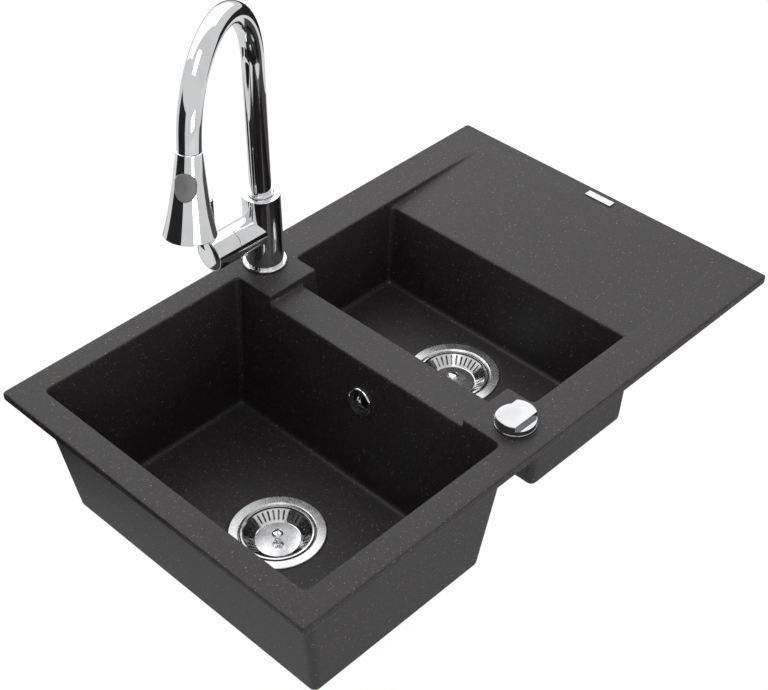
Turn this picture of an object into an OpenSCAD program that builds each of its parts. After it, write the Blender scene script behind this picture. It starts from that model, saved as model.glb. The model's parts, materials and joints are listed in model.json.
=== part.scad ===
// One and a half bowl kitchen sink with a drainer, two basket wastes, an overflow,
// a pop-up waste knob and a pull-out spray tap.
// The origin is the middle of the sink on the worktop, under the rim. Z points up.

/* [Sink] */
// Overall length, from the main bowl's end to the drainer's end
sink_l = 760; // [640:1:920]
// Overall width, front to back
sink_w = 480; // [400:1:580]
// Thickness of the rim that rests on the worktop
rim_t = 10; // [8:0.5:14]
// Radius of the rim's corners in plan
rim_corner_r = 3; // [2:0.5:20]
// Thickness of the bowl walls and floors
wall = 9; // [7:0.5:11]
// Thickness of the plate under the divider and the drainer
under_plate_t = 10; // [8:0.5:14]
// Width of the flat band under the rim that rests on the worktop
seat_band = 9; // [6:0.5:9.5]
// Hole for the tap
tap_hole_d = 35; // [34:0.5:38]

/* [Main bowl] */
// Rim between the sink's end and the main bowl
main_margin = 34.5; // [30:0.5:60]
// Rim in front of the main bowl
main_front = 34.5; // [30:0.5:60]
// Rim behind the main bowl
main_back = 31; // [28:0.5:60]
// Length of the main bowl at its top
main_l = 284.5; // [240:0.5:340]
// Depth of the main bowl from the top of the rim
main_depth = 181; // [150:1:217]
// Inward slope of the left wall over the depth
main_slope_left = 27.5; // [10:0.5:30]
// Inward slope of the right wall over the depth
main_slope_right = 17; // [10:0.5:25]
// Inward slope of the front wall over the depth
main_slope_front = 22.5; // [8:0.5:30]
// Inward slope of the rear wall over the depth
main_slope_back = 10; // [6:0.5:20]

/* [Half bowl and divider] */
// Width of the divider between the bowls
divider_w = 50; // [44:0.5:60]
// Drop of the divider below the rim
divider_drop = 10; // [5:0.5:10]
// Step from the divider's edge to the edge of the tap deck and the knob deck
deck_step = 24; // [20:0.5:30]
// Length of the half bowl beside the decks
half_l = 168; // [150:0.5:200]
// Rim in front of the half bowl
half_front = 52.5; // [45:0.5:70]
// Rim behind the half bowl
half_back = 52; // [45:0.5:70]
// Depth of the half bowl from the top of the rim
half_depth = 121; // [105:1:145]
// Inward slope of the half bowl's end walls
half_slope_end = 11; // [6:0.5:16]
// Inward slope of the half bowl's front and rear walls
half_slope_side = 3.5; // [2:0.5:10]
// Distance from the front edge to the back of the knob deck
knob_deck = 89.5; // [80:0.5:100]
// Distance from the rear edge to the front of the tap deck
tap_deck = 86.5; // [80:0.5:100]

/* [Drainer] */
// Flat rim left at the drainer's end
drainer_margin = 34; // [28:0.5:60]
// Length of the plain metal plate
badge_l = 40; // [30:1:60]
// Width of the plain metal plate
badge_w = 10.6; // [8:0.2:14]
// Thickness of the plain metal plate
badge_t = 1.5; // [1:0.1:3]
// Distance from the drainer's end to the plate's middle
badge_inset = 14.4; // [10:0.2:24]

/* [Wastes] */
// Outer diameter of the steel flange in the bowl's floor
flange_d = 114; // [110:0.5:124]
// Diameter of the strainer basket
basket_d = 85.6; // [84:0.2:87]
// Diameter of the basket's flat floor
basket_floor_d = 54.4; // [50:0.2:56]
// Number of slots round the basket
slot_count = 36; // [12:1:48]
// Width of a slot
slot_w = 2.2; // [1.6:0.1:2.6]
// Diameter of the hole in the bowl's floor
waste_hole_d = 92; // [91:0.5:94]
// Depth of the waste body below the bowl
waste_body_h = 60; // [58:1:80]
// Outer diameter of the one and a half inch pipe thread
outlet_d = 47.8; // [46:0.1:50]
// Bore of the waste outlet
outlet_bore = 39; // [34:0.5:40]
// Length of the thread on the waste outlet
outlet_l = 22; // [15:1:30]
// Travel of the basket when the waste opens
basket_lift = 9; // [6:0.5:9]

/* [Overflow] */
// Diameter of the overflow cover
overflow_d = 36; // [34:0.5:44]
// Depth of the overflow's middle below the rim
overflow_depth = 64; // [50:1:75]
// Outer diameter of the overflow hose over its ribs
hose_d = 25; // [22:0.5:27]
// Bore of the overflow hose
hose_bore = 20.4; // [18:0.2:22]
// Distance from rib to rib
hose_pitch = 4; // [3:0.5:6]
// Radius of the hose's bend
hose_bend_r = 56; // [50:1:60]

/* [Pop-up knob] */
// Diameter of the knob
knob_d = 45.6; // [40:0.2:50]
// Height of the knob's top above the deck
knob_h = 14; // [12:0.5:20]
// Height of the step beside the grip bar
knob_step = 6; // [3:0.5:7]
// Width of the grip bar
knob_grip_w = 28; // [18:0.5:32]
// Distance from the front edge to the knob's middle
knob_front = 45; // [40:0.5:50]
// Distance from the main bowl's edge to the knob's middle
knob_side = 36; // [30:0.5:42]
// Hole for the knob's housing
knob_hole_d = 35; // [34:0.5:38]

/* [Tap body and handle] */
// Distance from the rear edge to the tap's middle
tap_back = 30; // [29:0.5:40]
// Distance from the main bowl's edge to the tap's middle
tap_side = 43.5; // [38:0.5:46]
// Diameter of the base ring
base_ring_d = 54; // [50:0.5:60]
// Diameter of the tap's body
body_d = 46.6; // [42:0.2:50]
// Height of the body's top above the deck
body_h = 100; // [90:1:120]
// Height of the handle's axis above the deck
boss_h = 53; // [44:1:58]
// Diameter of the side boss and the handle
boss_d = 41.4; // [38:0.2:44]
// Distance from the tap's middle to the joint between boss and handle
boss_reach = 50; // [48:0.5:60]
// Length of the handle barrel
handle_l = 33.5; // [26:0.5:36]
// Tilt of the handle from closed to open
handle_tilt = 14; // [8:1:18]
// Diameter of the lever
lever_d = 6; // [5:0.5:7]
// Height of the lever's tip above the handle's axis
lever_h = 76; // [60:1:110]
// Outer diameter of the threaded shank
shank_d = 32; // [30:0.5:33]
// Bore of the threaded shank
shank_bore = 25; // [22:0.5:26]
// Length of the shank below the deck
shank_l = 45; // [40:1:60]

/* [Spout and spray head] */
// Outer diameter of the spout tube
spout_d = 26.2; // [24:0.2:31.4]
// Wall of the spout tube
spout_wall = 1.6; // [1:0.1:2]
// Radius of the spout's arch, to the middle of the tube
arch_r = 95; // [80:1:120]
// Height of the arch's middle above the deck
arch_h = 276; // [230:1:340]
// Angle swept by the arch
arch_sweep = 169.25; // [150:0.25:180]
// Straight length after the arch
leg_l = 16; // [14:1:40]
// Direction of the spout in plan, from the sink's length
spout_turn = 208.4; // [180:0.2:270]
// Length of the spray head
head_l = 93.5; // [80:0.5:120]
// Diameter of the spray head at its top
head_top_d = 28; // [27:0.2:30]
// Diameter of the spray head at its rim
head_rim_d = 57.6; // [48:0.2:64]
// Turn of the spray head's button round the head
head_turn = 5; // [-30:1:30]
// Width of the mode button
button_w = 23; // [14:0.5:24]
// Length of the mode button
button_l = 30; // [25:0.5:34]
// Travel of the mode button
button_travel = 1.5; // [1:0.1:2]

/* [Hidden] */
$fn = 96;

// Places measured from the front left corner, moved to the origin
left = -sink_l/2;
front = -sink_w/2;
back = sink_w/2;

// Small overlap that lets cutting shapes pass a face
cut = 1;
// Radial gap of a turning or sliding fit
run_gap = 0.05;
// Radial gap of pieces that are pushed in and stay
seat_gap = 0.02;
// Radial gap of a loose hole
loose = 0.3;

// Corners of both bowls: radius at the top, radius along the floor, and their facets
corner_r = 6;
fillet_r = 6;
corner_fn = 24;

// Main bowl edges
main_x0 = left + main_margin;
main_x1 = main_x0 + main_l;
main_y0 = front + main_front;
main_y1 = back - main_back;
main_floor = rim_t - main_depth;

// Half bowl edges: the narrow reach beside the divider and the full bowl
half_x0 = main_x1 + divider_w;
half_deck_x = half_x0 + deck_step;
half_x1 = half_deck_x + half_l;
half_y0 = front + half_front;
half_y1 = back - half_back;
half_floor = rim_t - half_depth;
step_y0 = front + knob_deck;
step_y1 = back - tap_deck;
divider_top = rim_t - divider_drop;
under_plate_z = -under_plate_t;
// Underside of the rim inside the band that rests on the worktop
deck_under = 0.6;

// Drainer edges
drainer_x1 = left + sink_l - drainer_margin;

// Waste places: a little off the middle of each bowl
main_drain_shift = [2.75, 0.25];
half_drain_shift = [-5, -1.25];
main_drain_x = main_x0 + main_l/2 + main_drain_shift[0];
main_drain_y = (main_y0 + main_y1)/2 + main_drain_shift[1];
half_drain_x = half_deck_x + half_l/2 + half_drain_shift[0];
half_drain_y = (half_y0 + half_y1)/2 + half_drain_shift[1];

// Waste sizes: heights are measured from the bowl's floor
seat_drop = 1.5;
flange_gasket_t = 0.8;
flange_t = 1.5;
flange_under = flange_gasket_t - seat_drop;
flange_top = flange_under + flange_t;
cup_r = basket_d/2 + 0.8;
cup_t = 1.2;
plug_seat_r = 31.5;
plug_seat_z = -17;
throat_z = -50;
hub_r = 9;
screw_r = 5;
screw_head_r = 8;
screw_head_t = 3.5;
hub_top = throat_z + 6;
pin_r = 3;
basket_t = 1.1;
basket_floor_z = -11.8;
basket_foot_z = hub_top + screw_head_t + 2.5;
basket_boss_r = 24;
body_gasket_t = 2;
body_top = -wall - body_gasket_t;
body_bottom = -wall - waste_body_h - 3;
drum_r = 48;
drum_t = 3;
body_flange_r = 54;
outlet_z = (body_top + body_bottom)/2;
outlet_reach = 86;
outlet_step = 4;
port_r = 9.9;
port_reach = 64;
port_z = -45;
lifter_h = basket_lift + 13;
lifter_r = 14;
cable_d = 6;
cable_z = body_bottom - basket_lift - 5;

// Overflow place on the main bowl's sloping right wall
overflow_lean = atan(main_slope_right/(main_depth - fillet_r*(1 - tan(180/corner_fn))));
overflow_z = rim_t - overflow_depth;
overflow_x = main_x1 - overflow_depth*tan(overflow_lean);
overflow_shift = -2.75;
overflow_y = (main_y0 + main_y1)/2 + overflow_shift;
overflow_pad = wall + 1.5;
overflow_pad_r = 24;
overflow_gasket_t = 2;
overflow_flange_r = 21;
overflow_hole_r = 14;
spigot_x = overflow_x + 25;
spigot_bottom = overflow_z - 34;
cuff_l = 16;

// Knob place and heights
knob_x = main_x1 + knob_side;
knob_y = front + knob_front;
knob_top = rim_t + knob_h;
knob_gasket_t = 0.8;
knob_base_t = 1.6;
knob_base_top = rim_t + knob_gasket_t + knob_base_t;
housing_r = 16.5;
housing_bottom = -34;
knob_shaft_r = 6;

// Tap place and heights
tap_x = main_x1 + tap_side;
tap_y = back - tap_back;
tap_gasket_t = 0.8;
base_ring_t = 3.2;
body_z = rim_t + tap_gasket_t + base_ring_t;
body_top_z = rim_t + body_h;
boss_z = rim_t + boss_h;
shank_screwed = 8;
washer_r = shank_d/2 + 3.5;
washer_t = 3;
steel_washer_t = 2;
shank_nut_top = deck_under - washer_t - steel_washer_t;
shank_nut_h = 10;
bearing_z = body_top_z - 28;
bearing_r = spout_d/2 + 1.9;
passage_r = 6.2;
passage_y = 5.7;
inlet_r = 3.6;
inlet_l = 12;
duct_r = 2.2;
// Water ports under the body: across, along and the height of each duct
ports = [[-8, -2.5, boss_z - 5], [0, -8, boss_z + 1], [8, -3.5, boss_z + 9]];

// Handle sizes: distances run from the tap's middle along the boss
seat_r = 17.4;
seat_x = 20;
pivot_x = boss_reach - 1;
carrier_r = 10;
spindle_w = 8;
handle_gap = 0.5;
handle_x0 = boss_reach + handle_gap;
handle_x1 = handle_x0 + handle_l;
lever_x = handle_x0 + 24.5;

// Spout and head
arch_z = rim_t + arch_h;
arch_rest = 180 - arch_sweep;
tube_bore_r = spout_d/2 - spout_wall;
// The arch is this much thinner on each face than the straight tubes that lap its ends
weld_step = 0.02;
weld_l = 0.5;
head_gap = 0.4;
head_z = -leg_l - head_gap;
flare_slope = 0.68;
head_steps = 20;
button_z = head_z - 33.3;
button_proud = 1.2;
button_deep = 5;

// Flare of the spray head: a straight part and a cubic part that curls out to the rim
function flare_r(t) =
  head_top_d/2 + (head_rim_d - head_top_d)/2*(flare_slope*t + (1 - flare_slope)*pow(t, 3));
function head_r(z) = flare_r((head_z - z)/head_l);

// Tube swept along a list of points, with a list of ring radii and an optional bore
function unit(v) = v/norm(v);
function tangent(pts, i) =
  unit(pts[min(i + 1, len(pts) - 1)] - pts[max(i - 1, 0)]);
function ring(pts, i, r, n, ref) =
  let (t = tangent(pts, i), u = unit(cross(t, ref)), v = cross(t, u))
  [for (k = [0:n - 1]) pts[i] + r*(cos(360*k/n)*u + sin(360*k/n)*v)];
function join(lists) = [for (l = lists) for (p = l) p];
function band(a, b, n) =
  [for (k = [0:n - 1]) let (m = (k + 1)%n) each [[a + k, a + m, b + m], [a + k, b + m, b + k]]];

module swept_rod(pts, r, n, ref) {
  last = len(pts) - 1;
  points = join([for (i = [0:last]) ring(pts, i, r, n, ref)]);
  sides = join([for (i = [0:last - 1]) band(i*n, (i + 1)*n, n)]);
  start_cap = [for (k = [1:n - 2]) [0, k + 1, k]];
  end_cap = [for (k = [1:n - 2]) [last*n, last*n + k, last*n + k + 1]];
  polyhedron(points = points, faces = [for (f = concat(sides, start_cap, end_cap)) [f[2], f[1], f[0]]]);
}

module swept_pipe(pts, radii, bore_r, n, ref) {
  last = len(pts) - 1;
  count = len(pts)*n;
  outer = join([for (i = [0:last]) ring(pts, i, radii[i], n, ref)]);
  inner = join([for (i = [0:last]) ring(pts, i, bore_r, n, ref)]);
  outer_sides = join([for (i = [0:last - 1]) band(i*n, (i + 1)*n, n)]);
  inner_sides = join([for (i = [0:last - 1]) band(count + (i + 1)*n, count + i*n, n)]);
  start_face = band(count, 0, n);
  end_face = band(last*n, count + last*n, n);
  faces = concat(outer_sides, inner_sides, start_face, end_face);
  polyhedron(points = concat(outer, inner), faces = [for (f = faces) [f[2], f[1], f[0]]]);
}

module ring_solid(r_out, r_in, z0, z1) {
  translate([0, 0, z0])
    difference() {
      cylinder(r = r_out, h = z1 - z0);
      translate([0, 0, -cut]) cylinder(r = r_in, h = z1 - z0 + 2*cut);
    }
}

// Bowl shape that tapers from a rectangle at z_top to rounded corners at z_floor
module bowl_shape(x0, x1, y0, y1, slopes, z_floor, z_top, rise, r_top, r_floor) {
  hull() {
    for (x = [x0 + r_top, x1 - r_top])
      for (y = [y0 + r_top, y1 - r_top])
        translate([x, y, z_top]) cylinder(r = r_top, h = rise, $fn = corner_fn);
    for (x = [x0 + slopes[0] + r_floor, x1 - slopes[1] - r_floor])
      for (y = [y0 + slopes[2] + r_floor, y1 - slopes[3] - r_floor])
        translate([x, y, z_floor + r_floor]) sphere(r = r_floor/cos(180/corner_fn), $fn = corner_fn);
  }
}

module main_shape(grow, z_top, rise) {
  bowl_shape(main_x0 - grow, main_x1 + grow, main_y0 - grow, main_y1 + grow,
    [main_slope_left, main_slope_right, main_slope_front, main_slope_back],
    main_floor - grow, z_top, rise, corner_r + grow/2, fillet_r + grow/4);
}

module half_shape(x0, y0, y1, grow, z_top, rise) {
  bowl_shape(x0 - grow, half_x1 + grow, y0 - grow, y1 + grow,
    [half_slope_end, half_slope_end, half_slope_side, half_slope_side],
    half_floor - grow, z_top, rise, corner_r + grow/2, fillet_r + grow/4);
}

module rim_slab() {
  linear_extrude(rim_t)
    union() {
      translate([left + rim_corner_r, front]) square([sink_l - 2*rim_corner_r, sink_w]);
      translate([left, front + rim_corner_r]) square([sink_l, sink_w - 2*rim_corner_r]);
      for (x = [left + rim_corner_r, left + sink_l - rim_corner_r])
        for (y = [front + rim_corner_r, back - rim_corner_r])
          translate([x, y]) circle(r = rim_corner_r);
    }
}

module seat_recess() {
  translate([left + seat_band, front + seat_band, -cut])
    cube([sink_l - 2*seat_band, sink_w - 2*seat_band, deck_under + cut]);
}

module divider_plate() {
  translate([main_x1 - 4, step_y0 - wall/2, under_plate_z])
    cube([divider_w + 8, step_y1 - step_y0 + wall, under_plate_t + deck_under + cut]);
}

module drainer_plate() {
  translate([0, half_y1 + wall, 0]) rotate([90, 0, 0])
    linear_extrude(half_y1 - half_y0 + 2*wall)
      polygon([[half_x1 - 2, deck_under + cut], [half_x1 - 2, under_plate_z],
        [half_x1 + 4*wall, under_plate_z], [drainer_x1, -cut/2], [drainer_x1, deck_under + cut]]);
}

module drainer_cut() {
  translate([0, half_y1, 0]) rotate([90, 0, 0])
    linear_extrude(half_y1 - half_y0)
      polygon([[half_x1 - 16, divider_top], [half_x1, divider_top], [drainer_x1, rim_t],
        [drainer_x1, rim_t + cut], [half_x1 - 16, rim_t + cut]]);
}

module waste_hole(x, y, z) {
  translate([x, y, z - wall - cut]) cylinder(d = waste_hole_d, h = wall + 2*cut);
  translate([x, y, z - seat_drop]) cylinder(d = flange_d + 2, h = seat_drop + cut);
}

module sink_casting() {
  color([0.16, 0.15, 0.15])
    difference() {
      union() {
        difference() {
          rim_slab();
          seat_recess();
        }
        main_shape(wall, deck_under, cut);
        half_shape(half_x0, step_y0, step_y1, wall, 0, deck_under + cut);
        half_shape(half_deck_x, half_y0, half_y1, wall, 0, deck_under + cut);
        divider_plate();
        drainer_plate();
        overflow_frame() along_x(2, overflow_pad, overflow_pad_r);
      }
      main_shape(0, rim_t, cut);
      half_shape(half_x0, step_y0, step_y1, 0, divider_top, divider_drop + cut);
      half_shape(half_deck_x, half_y0, half_y1, 0, divider_top, divider_drop + cut);
      translate([main_x1 - 2, step_y0, divider_top])
        cube([divider_w + deck_step + 4, step_y1 - step_y0, divider_drop + cut]);
      drainer_cut();
      waste_hole(main_drain_x, main_drain_y, main_floor);
      waste_hole(half_drain_x, half_drain_y, half_floor);
      translate([tap_x, tap_y, -cut]) cylinder(d = tap_hole_d, h = rim_t + 2*cut);
      translate([knob_x, knob_y, -cut]) cylinder(d = knob_hole_d, h = rim_t + 2*cut);
      overflow_frame() along_x(-cut, overflow_pad + cut, overflow_hole_r);
    }
}

module badge_plate() {
  color([0.82, 0.82, 0.83])
    translate([left + sink_l - badge_inset - badge_w/2, -badge_l/2 + 2, rim_t])
      cube([badge_w, badge_l, badge_t]);
}

// Overflow: local X runs from the bowl out through the leaning wall
module overflow_frame() {
  translate([overflow_x, overflow_y, overflow_z]) rotate([0, overflow_lean, 0]) children();
}

module along_x(x0, x1, r) {
  translate([x0, 0, 0]) rotate([0, 90, 0]) cylinder(r = r, h = x1 - x0);
}

module overflow_cover() {
  cover_r = overflow_d/2;
  color([0.85, 0.85, 0.86])
    overflow_frame()
      difference() {
        union() {
          along_x(-2, 0, cover_r);
          along_x(-3, -2, cover_r - 1.2);
        }
        difference() {
          along_x(-4, cut, cover_r - 3);
          along_x(-5, 2*cut, 5.5);
          for (a = [90, 210, 330])
            rotate([a, 0, 0]) translate([-5, -2.2, 0]) cube([8, 4.4, cover_r]);
        }
        along_x(-4, cut, 2.6);
      }
}

module overflow_screw() {
  color([0.75, 0.75, 0.76])
    overflow_frame()
      difference() {
        union() {
          along_x(-4.6, -3, 4.2);
          along_x(-3, 20, 2.5);
        }
        translate([-5.5, -0.5, -5]) cube([1.7, 1, 10]);
      }
}

module overflow_gasket() {
  color([0.08, 0.08, 0.08])
    overflow_frame()
      difference() {
        along_x(overflow_pad, overflow_pad + overflow_gasket_t, overflow_flange_r - 1);
        along_x(overflow_pad - cut, overflow_pad + overflow_gasket_t + cut, overflow_hole_r + 0.6);
      }
}

module overflow_elbow() {
  flange_x = overflow_pad + overflow_gasket_t;
  color([0.1, 0.1, 0.1])
    difference() {
      union() {
        overflow_frame() {
          along_x(1, flange_x + cut, overflow_hole_r - 0.4);
          along_x(flange_x, flange_x + 3, overflow_flange_r);
          along_x(flange_x + 2, 36, 17);
        }
        translate([spigot_x, overflow_y, spigot_bottom]) cylinder(r = port_r, h = 26);
      }
      overflow_frame()
        difference() {
          along_x(0, 33, overflow_hole_r - 2.6);
          along_x(8, 34, 5);
        }
      overflow_frame() along_x(6, 22, 2.5 + seat_gap);
      translate([spigot_x, overflow_y, spigot_bottom - cut]) cylinder(r = port_r - 2, h = 24);
    }
}

// Overflow hose: down between the bowls, a bend, and along under the main bowl
hose_x0 = spigot_x;
hose_z0 = spigot_bottom - 4;
hose_z1 = main_floor + port_z;
hose_x1 = main_drain_x + port_reach;
hose_down = hose_z0 - hose_z1 - hose_bend_r;
hose_arc = PI/2*hose_bend_r;
hose_flat = hose_x0 - hose_bend_r - hose_x1 - 2;
hose_l = hose_down + hose_arc + hose_flat;
function hose_point(s) =
  s <= hose_down ? [hose_x0, overflow_y, hose_z0 - s] :
  s <= hose_down + hose_arc ?
    let (a = (s - hose_down)/hose_bend_r*180/PI)
    [hose_x0 - hose_bend_r + hose_bend_r*cos(a), overflow_y, hose_z1 + hose_bend_r - hose_bend_r*sin(a)] :
  [hose_x0 - hose_bend_r - (s - hose_down - hose_arc), overflow_y, hose_z1];

module overflow_hose() {
  ribs = floor((hose_l - hose_d)/hose_pitch);
  start = (hose_l - ribs*hose_pitch)/2;
  valley_r = hose_bore/2 + 1;
  stations = concat([0], [for (i = [0:ribs - 1]) each [start + i*hose_pitch, start + (i + 0.5)*hose_pitch]],
    [start + ribs*hose_pitch, hose_l]);
  radii = concat([valley_r], [for (i = [0:ribs - 1]) each [valley_r, hose_d/2]], [valley_r, valley_r]);
  color([0.62, 0.62, 0.64]) {
    swept_pipe([for (s = stations) hose_point(s)], radii, hose_bore/2 - 0.6, 8, [0, 1, 0]);
    translate([hose_x0, overflow_y, hose_z0 - 2]) ring_solid(hose_d/2, hose_bore/2, 0, cuff_l);
    translate([hose_x1 + 4, overflow_y, hose_z1]) rotate([0, -90, 0])
      ring_solid(hose_d/2, hose_bore/2, 0, cuff_l);
  }
}

// Waste pieces, all measured from the middle of the drain at the bowl's floor
module at_main() {
  translate([main_drain_x, main_drain_y, main_floor]) children();
}

module at_half() {
  translate([half_drain_x, half_drain_y, half_floor]) children();
}

module waste_flange() {
  flange_r = flange_d/2;
  color([0.8, 0.8, 0.81])
    difference() {
      union() {
        rotate_extrude()
          polygon([[flange_r, flange_under], [flange_r, flange_top - 0.6], [flange_r - 1, flange_top],
            [cup_r + 2, flange_top], [cup_r, flange_top - 1.6], [cup_r, -8], [plug_seat_r + 4.5, plug_seat_z],
            [plug_seat_r, plug_seat_z], [plug_seat_r, throat_z], [plug_seat_r + cup_t, throat_z],
            [plug_seat_r + cup_t, plug_seat_z - cup_t], [plug_seat_r + 4.5 + cup_t, plug_seat_z - cup_t],
            [cup_r + cup_t, -8.6], [cup_r + cup_t, flange_under]]);
        translate([0, 0, throat_z]) cylinder(r = hub_r, h = hub_top - throat_z);
        for (a = [0, 120, 240])
          rotate([0, 0, a]) translate([0, -2.5, throat_z]) cube([plug_seat_r + cup_t/2, 5, 5]);
      }
      translate([0, 0, throat_z - cut]) cylinder(r = screw_r + 0.1, h = hub_top - throat_z + 2*cut);
    }
}

module flange_gasket() {
  color([0.1, 0.1, 0.1]) ring_solid(flange_d/2 - 1, cup_r + cup_t + loose, -seat_drop, flange_under);
}

module body_gasket() {
  color([0.1, 0.1, 0.1]) ring_solid(body_flange_r - 1, waste_hole_d/2 + 0.5, body_top, -wall);
}

module waste_body(has_lifter) {
  color([0.9, 0.9, 0.88])
    difference() {
      union() {
        translate([0, 0, body_bottom]) cylinder(r = drum_r, h = body_top - body_bottom);
        translate([0, 0, body_top - 3]) cylinder(r = body_flange_r, h = 3);
        translate([0, drum_r - 12, outlet_z]) rotate([-90, 0, 0])
          cylinder(d = outlet_d, h = outlet_reach - drum_r + 12);
        translate([0, drum_r - 12, outlet_z]) rotate([-90, 0, 0])
          cylinder(d = outlet_d + outlet_step, h = outlet_reach - outlet_l - drum_r + 12);
        if (has_lifter)
          translate([drum_r - 6, overflow_y - main_drain_y, port_z]) rotate([0, 90, 0])
            cylinder(r = port_r, h = port_reach - drum_r + 6);
      }
      difference() {
        translate([0, 0, body_bottom + drum_t + 1])
          cylinder(r = drum_r - drum_t, h = body_top - body_bottom);
        translate([0, 0, body_bottom]) cylinder(r = hub_r, h = throat_z - body_bottom);
      }
      translate([0, drum_r - 12, outlet_z]) rotate([-90, 0, 0])
        cylinder(d = outlet_bore, h = outlet_reach);
      translate([0, 0, body_bottom + 6]) cylinder(r = screw_r + seat_gap, h = throat_z - body_bottom);
      if (has_lifter) {
        translate([0, 0, body_bottom - cut]) cylinder(r = pin_r + 0.1, h = 10);
        translate([drum_r - 8, overflow_y - main_drain_y, port_z]) rotate([0, 90, 0])
          cylinder(r = port_r - 2, h = port_reach);
      }
    }
}

module waste_screw(is_hollow) {
  color([0.72, 0.72, 0.73])
    difference() {
      union() {
        translate([0, 0, hub_top]) cylinder(r = screw_head_r, h = screw_head_t);
        translate([0, 0, body_bottom + 6.5]) cylinder(r = screw_r, h = hub_top - body_bottom - 6.5);
      }
      if (is_hollow)
        translate([0, 0, body_bottom]) cylinder(r = pin_r + run_gap, h = 60);
      else
        translate([0, 0, hub_top + 1]) cylinder(r = 4, h = 10, $fn = 6);
    }
}

module strainer_basket() {
  top_r = basket_d/2;
  floor_r = basket_floor_d/2;
  color([0.83, 0.83, 0.84])
    difference() {
      union() {
        rotate_extrude()
          polygon([[0, basket_foot_z], [pin_r, basket_foot_z], [pin_r, plug_seat_z + 1],
            [basket_boss_r, plug_seat_z + 1], [basket_boss_r, basket_floor_z - basket_t],
            [floor_r + 0.4, basket_floor_z - basket_t], [top_r - 2.2, -2.4], [top_r - 1.6, -0.6],
            [top_r, -0.6], [top_r, 0.4], [top_r - 2.6, 0.4], [top_r - 3.4, -1.5],
            [floor_r, basket_floor_z], [0, basket_floor_z]]);
      }
      for (i = [0:slot_count - 1])
        rotate([0, 0, 360*(i + 0.5)/slot_count])
          translate([floor_r + 2, -slot_w/2, basket_floor_z - 3])
            cube([top_r - floor_r - 6.4, slot_w, 14]);
      translate([0, 0, basket_floor_z - 3]) cylinder(r = 2, h = 4);
    }
}

module plug_seal() {
  color([0.08, 0.08, 0.08])
    ring_solid(plug_seat_r + 2.5, basket_boss_r + seat_gap, plug_seat_z, basket_floor_z - basket_t);
}

module basket_knob() {
  color([0.86, 0.86, 0.87])
    rotate_extrude()
      polygon([[0, basket_floor_z - 3], [2 - seat_gap, basket_floor_z - 3], [2 - seat_gap, basket_floor_z],
        [4, basket_floor_z], [2.4, basket_floor_z + 1.6], [2.4, -5], [6, -4.2], [6.75, -3], [6.4, -1.4],
        [5, -0.3], [2.8, 0.2], [0, 0.3]]);
}

module lifter_pin() {
  color([0.75, 0.75, 0.76]) {
    translate([0, 0, cable_z]) cylinder(r = pin_r, h = basket_foot_z - cable_z);
    translate([0, 0, cable_z]) cylinder(r = 8, h = 2.5);
  }
}

module lifter_housing() {
  color([0.12, 0.12, 0.12])
    difference() {
      union() {
        translate([0, 0, body_bottom - lifter_h]) cylinder(r = lifter_r, h = lifter_h);
        translate([lifter_r - 4, 0, cable_z]) rotate([0, 90, 0]) cylinder(r = 5, h = 14);
      }
      translate([0, 0, body_bottom - lifter_h + 4]) cylinder(r = lifter_r - 3, h = lifter_h);
      translate([lifter_r - 6, 0, cable_z]) rotate([0, 90, 0]) cylinder(d = 2.4, h = 12);
      translate([lifter_r + 4, 0, cable_z]) rotate([0, 90, 0]) cylinder(d = cable_d + 0.1, h = 12);
    }
}

// Pop-up knob
module at_knob() {
  translate([knob_x, knob_y, 0]) children();
}

module popup_knob_cap() {
  color([0.86, 0.86, 0.87])
    at_knob()
      difference() {
        union() {
          translate([0, 0, knob_base_top + loose]) cylinder(d = knob_d, h = knob_h - knob_base_t - 2);
          translate([0, 0, knob_top - 2]) cylinder(d = knob_d - 0.8, h = 2);
        }
        for (side = [-1, 1])
          translate([-knob_d, side > 0 ? knob_grip_w/2 : -knob_grip_w/2 - knob_d, knob_top - knob_step])
            cube([2*knob_d, knob_d, knob_step + cut]);
        translate([0, 0, knob_base_top]) cylinder(r = 19.6, h = 2.2);
        translate([0, 0, knob_base_top]) cylinder(r = knob_shaft_r + seat_gap, h = knob_h - 7);
      }
}

module popup_knob_base() {
  color([0.8, 0.8, 0.81])
    at_knob() ring_solid(knob_d/2 + 0.6, housing_r + 0.1, rim_t + knob_gasket_t, knob_base_top);
}

module popup_knob_gasket() {
  color([0.08, 0.08, 0.08])
    at_knob() ring_solid(knob_d/2 - 0.6, housing_r + 0.3, rim_t, rim_t + knob_gasket_t);
}

module popup_knob_shaft() {
  color([0.75, 0.75, 0.76])
    at_knob() {
      translate([0, 0, -20]) cylinder(r = knob_shaft_r, h = knob_base_top + knob_h - 7 + 20);
      translate([0, 0, -22]) cylinder(r = 10, h = 12);
    }
}

module popup_knob_housing() {
  color([0.12, 0.12, 0.12])
    at_knob()
      difference() {
        union() {
          translate([0, 0, housing_bottom]) cylinder(r = housing_r, h = knob_base_top - housing_bottom);
          translate([0, 0, knob_base_top]) cylinder(r = 19, h = 1.6);
          translate([0, 0, housing_bottom - 10]) cylinder(r = 5, h = 11);
        }
        translate([0, 0, -10]) cylinder(r = knob_shaft_r + run_gap, h = 40);
        translate([0, 0, housing_bottom + 4]) cylinder(r = 12.5, h = -housing_bottom - 12);
        translate([0, 0, housing_bottom - 4]) cylinder(d = 2.4, h = 10);
        translate([0, 0, housing_bottom - 11]) cylinder(d = cable_d + 0.1, h = 9);
      }
}

module popup_knob_nut() {
  color([0.15, 0.15, 0.15])
    at_knob()
      difference() {
        translate([0, 0, deck_under - 9]) cylinder(r = 22, h = 9, $fn = 8);
        translate([0, 0, deck_under - 10]) cylinder(r = housing_r + seat_gap, h = 11);
      }
}

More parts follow.
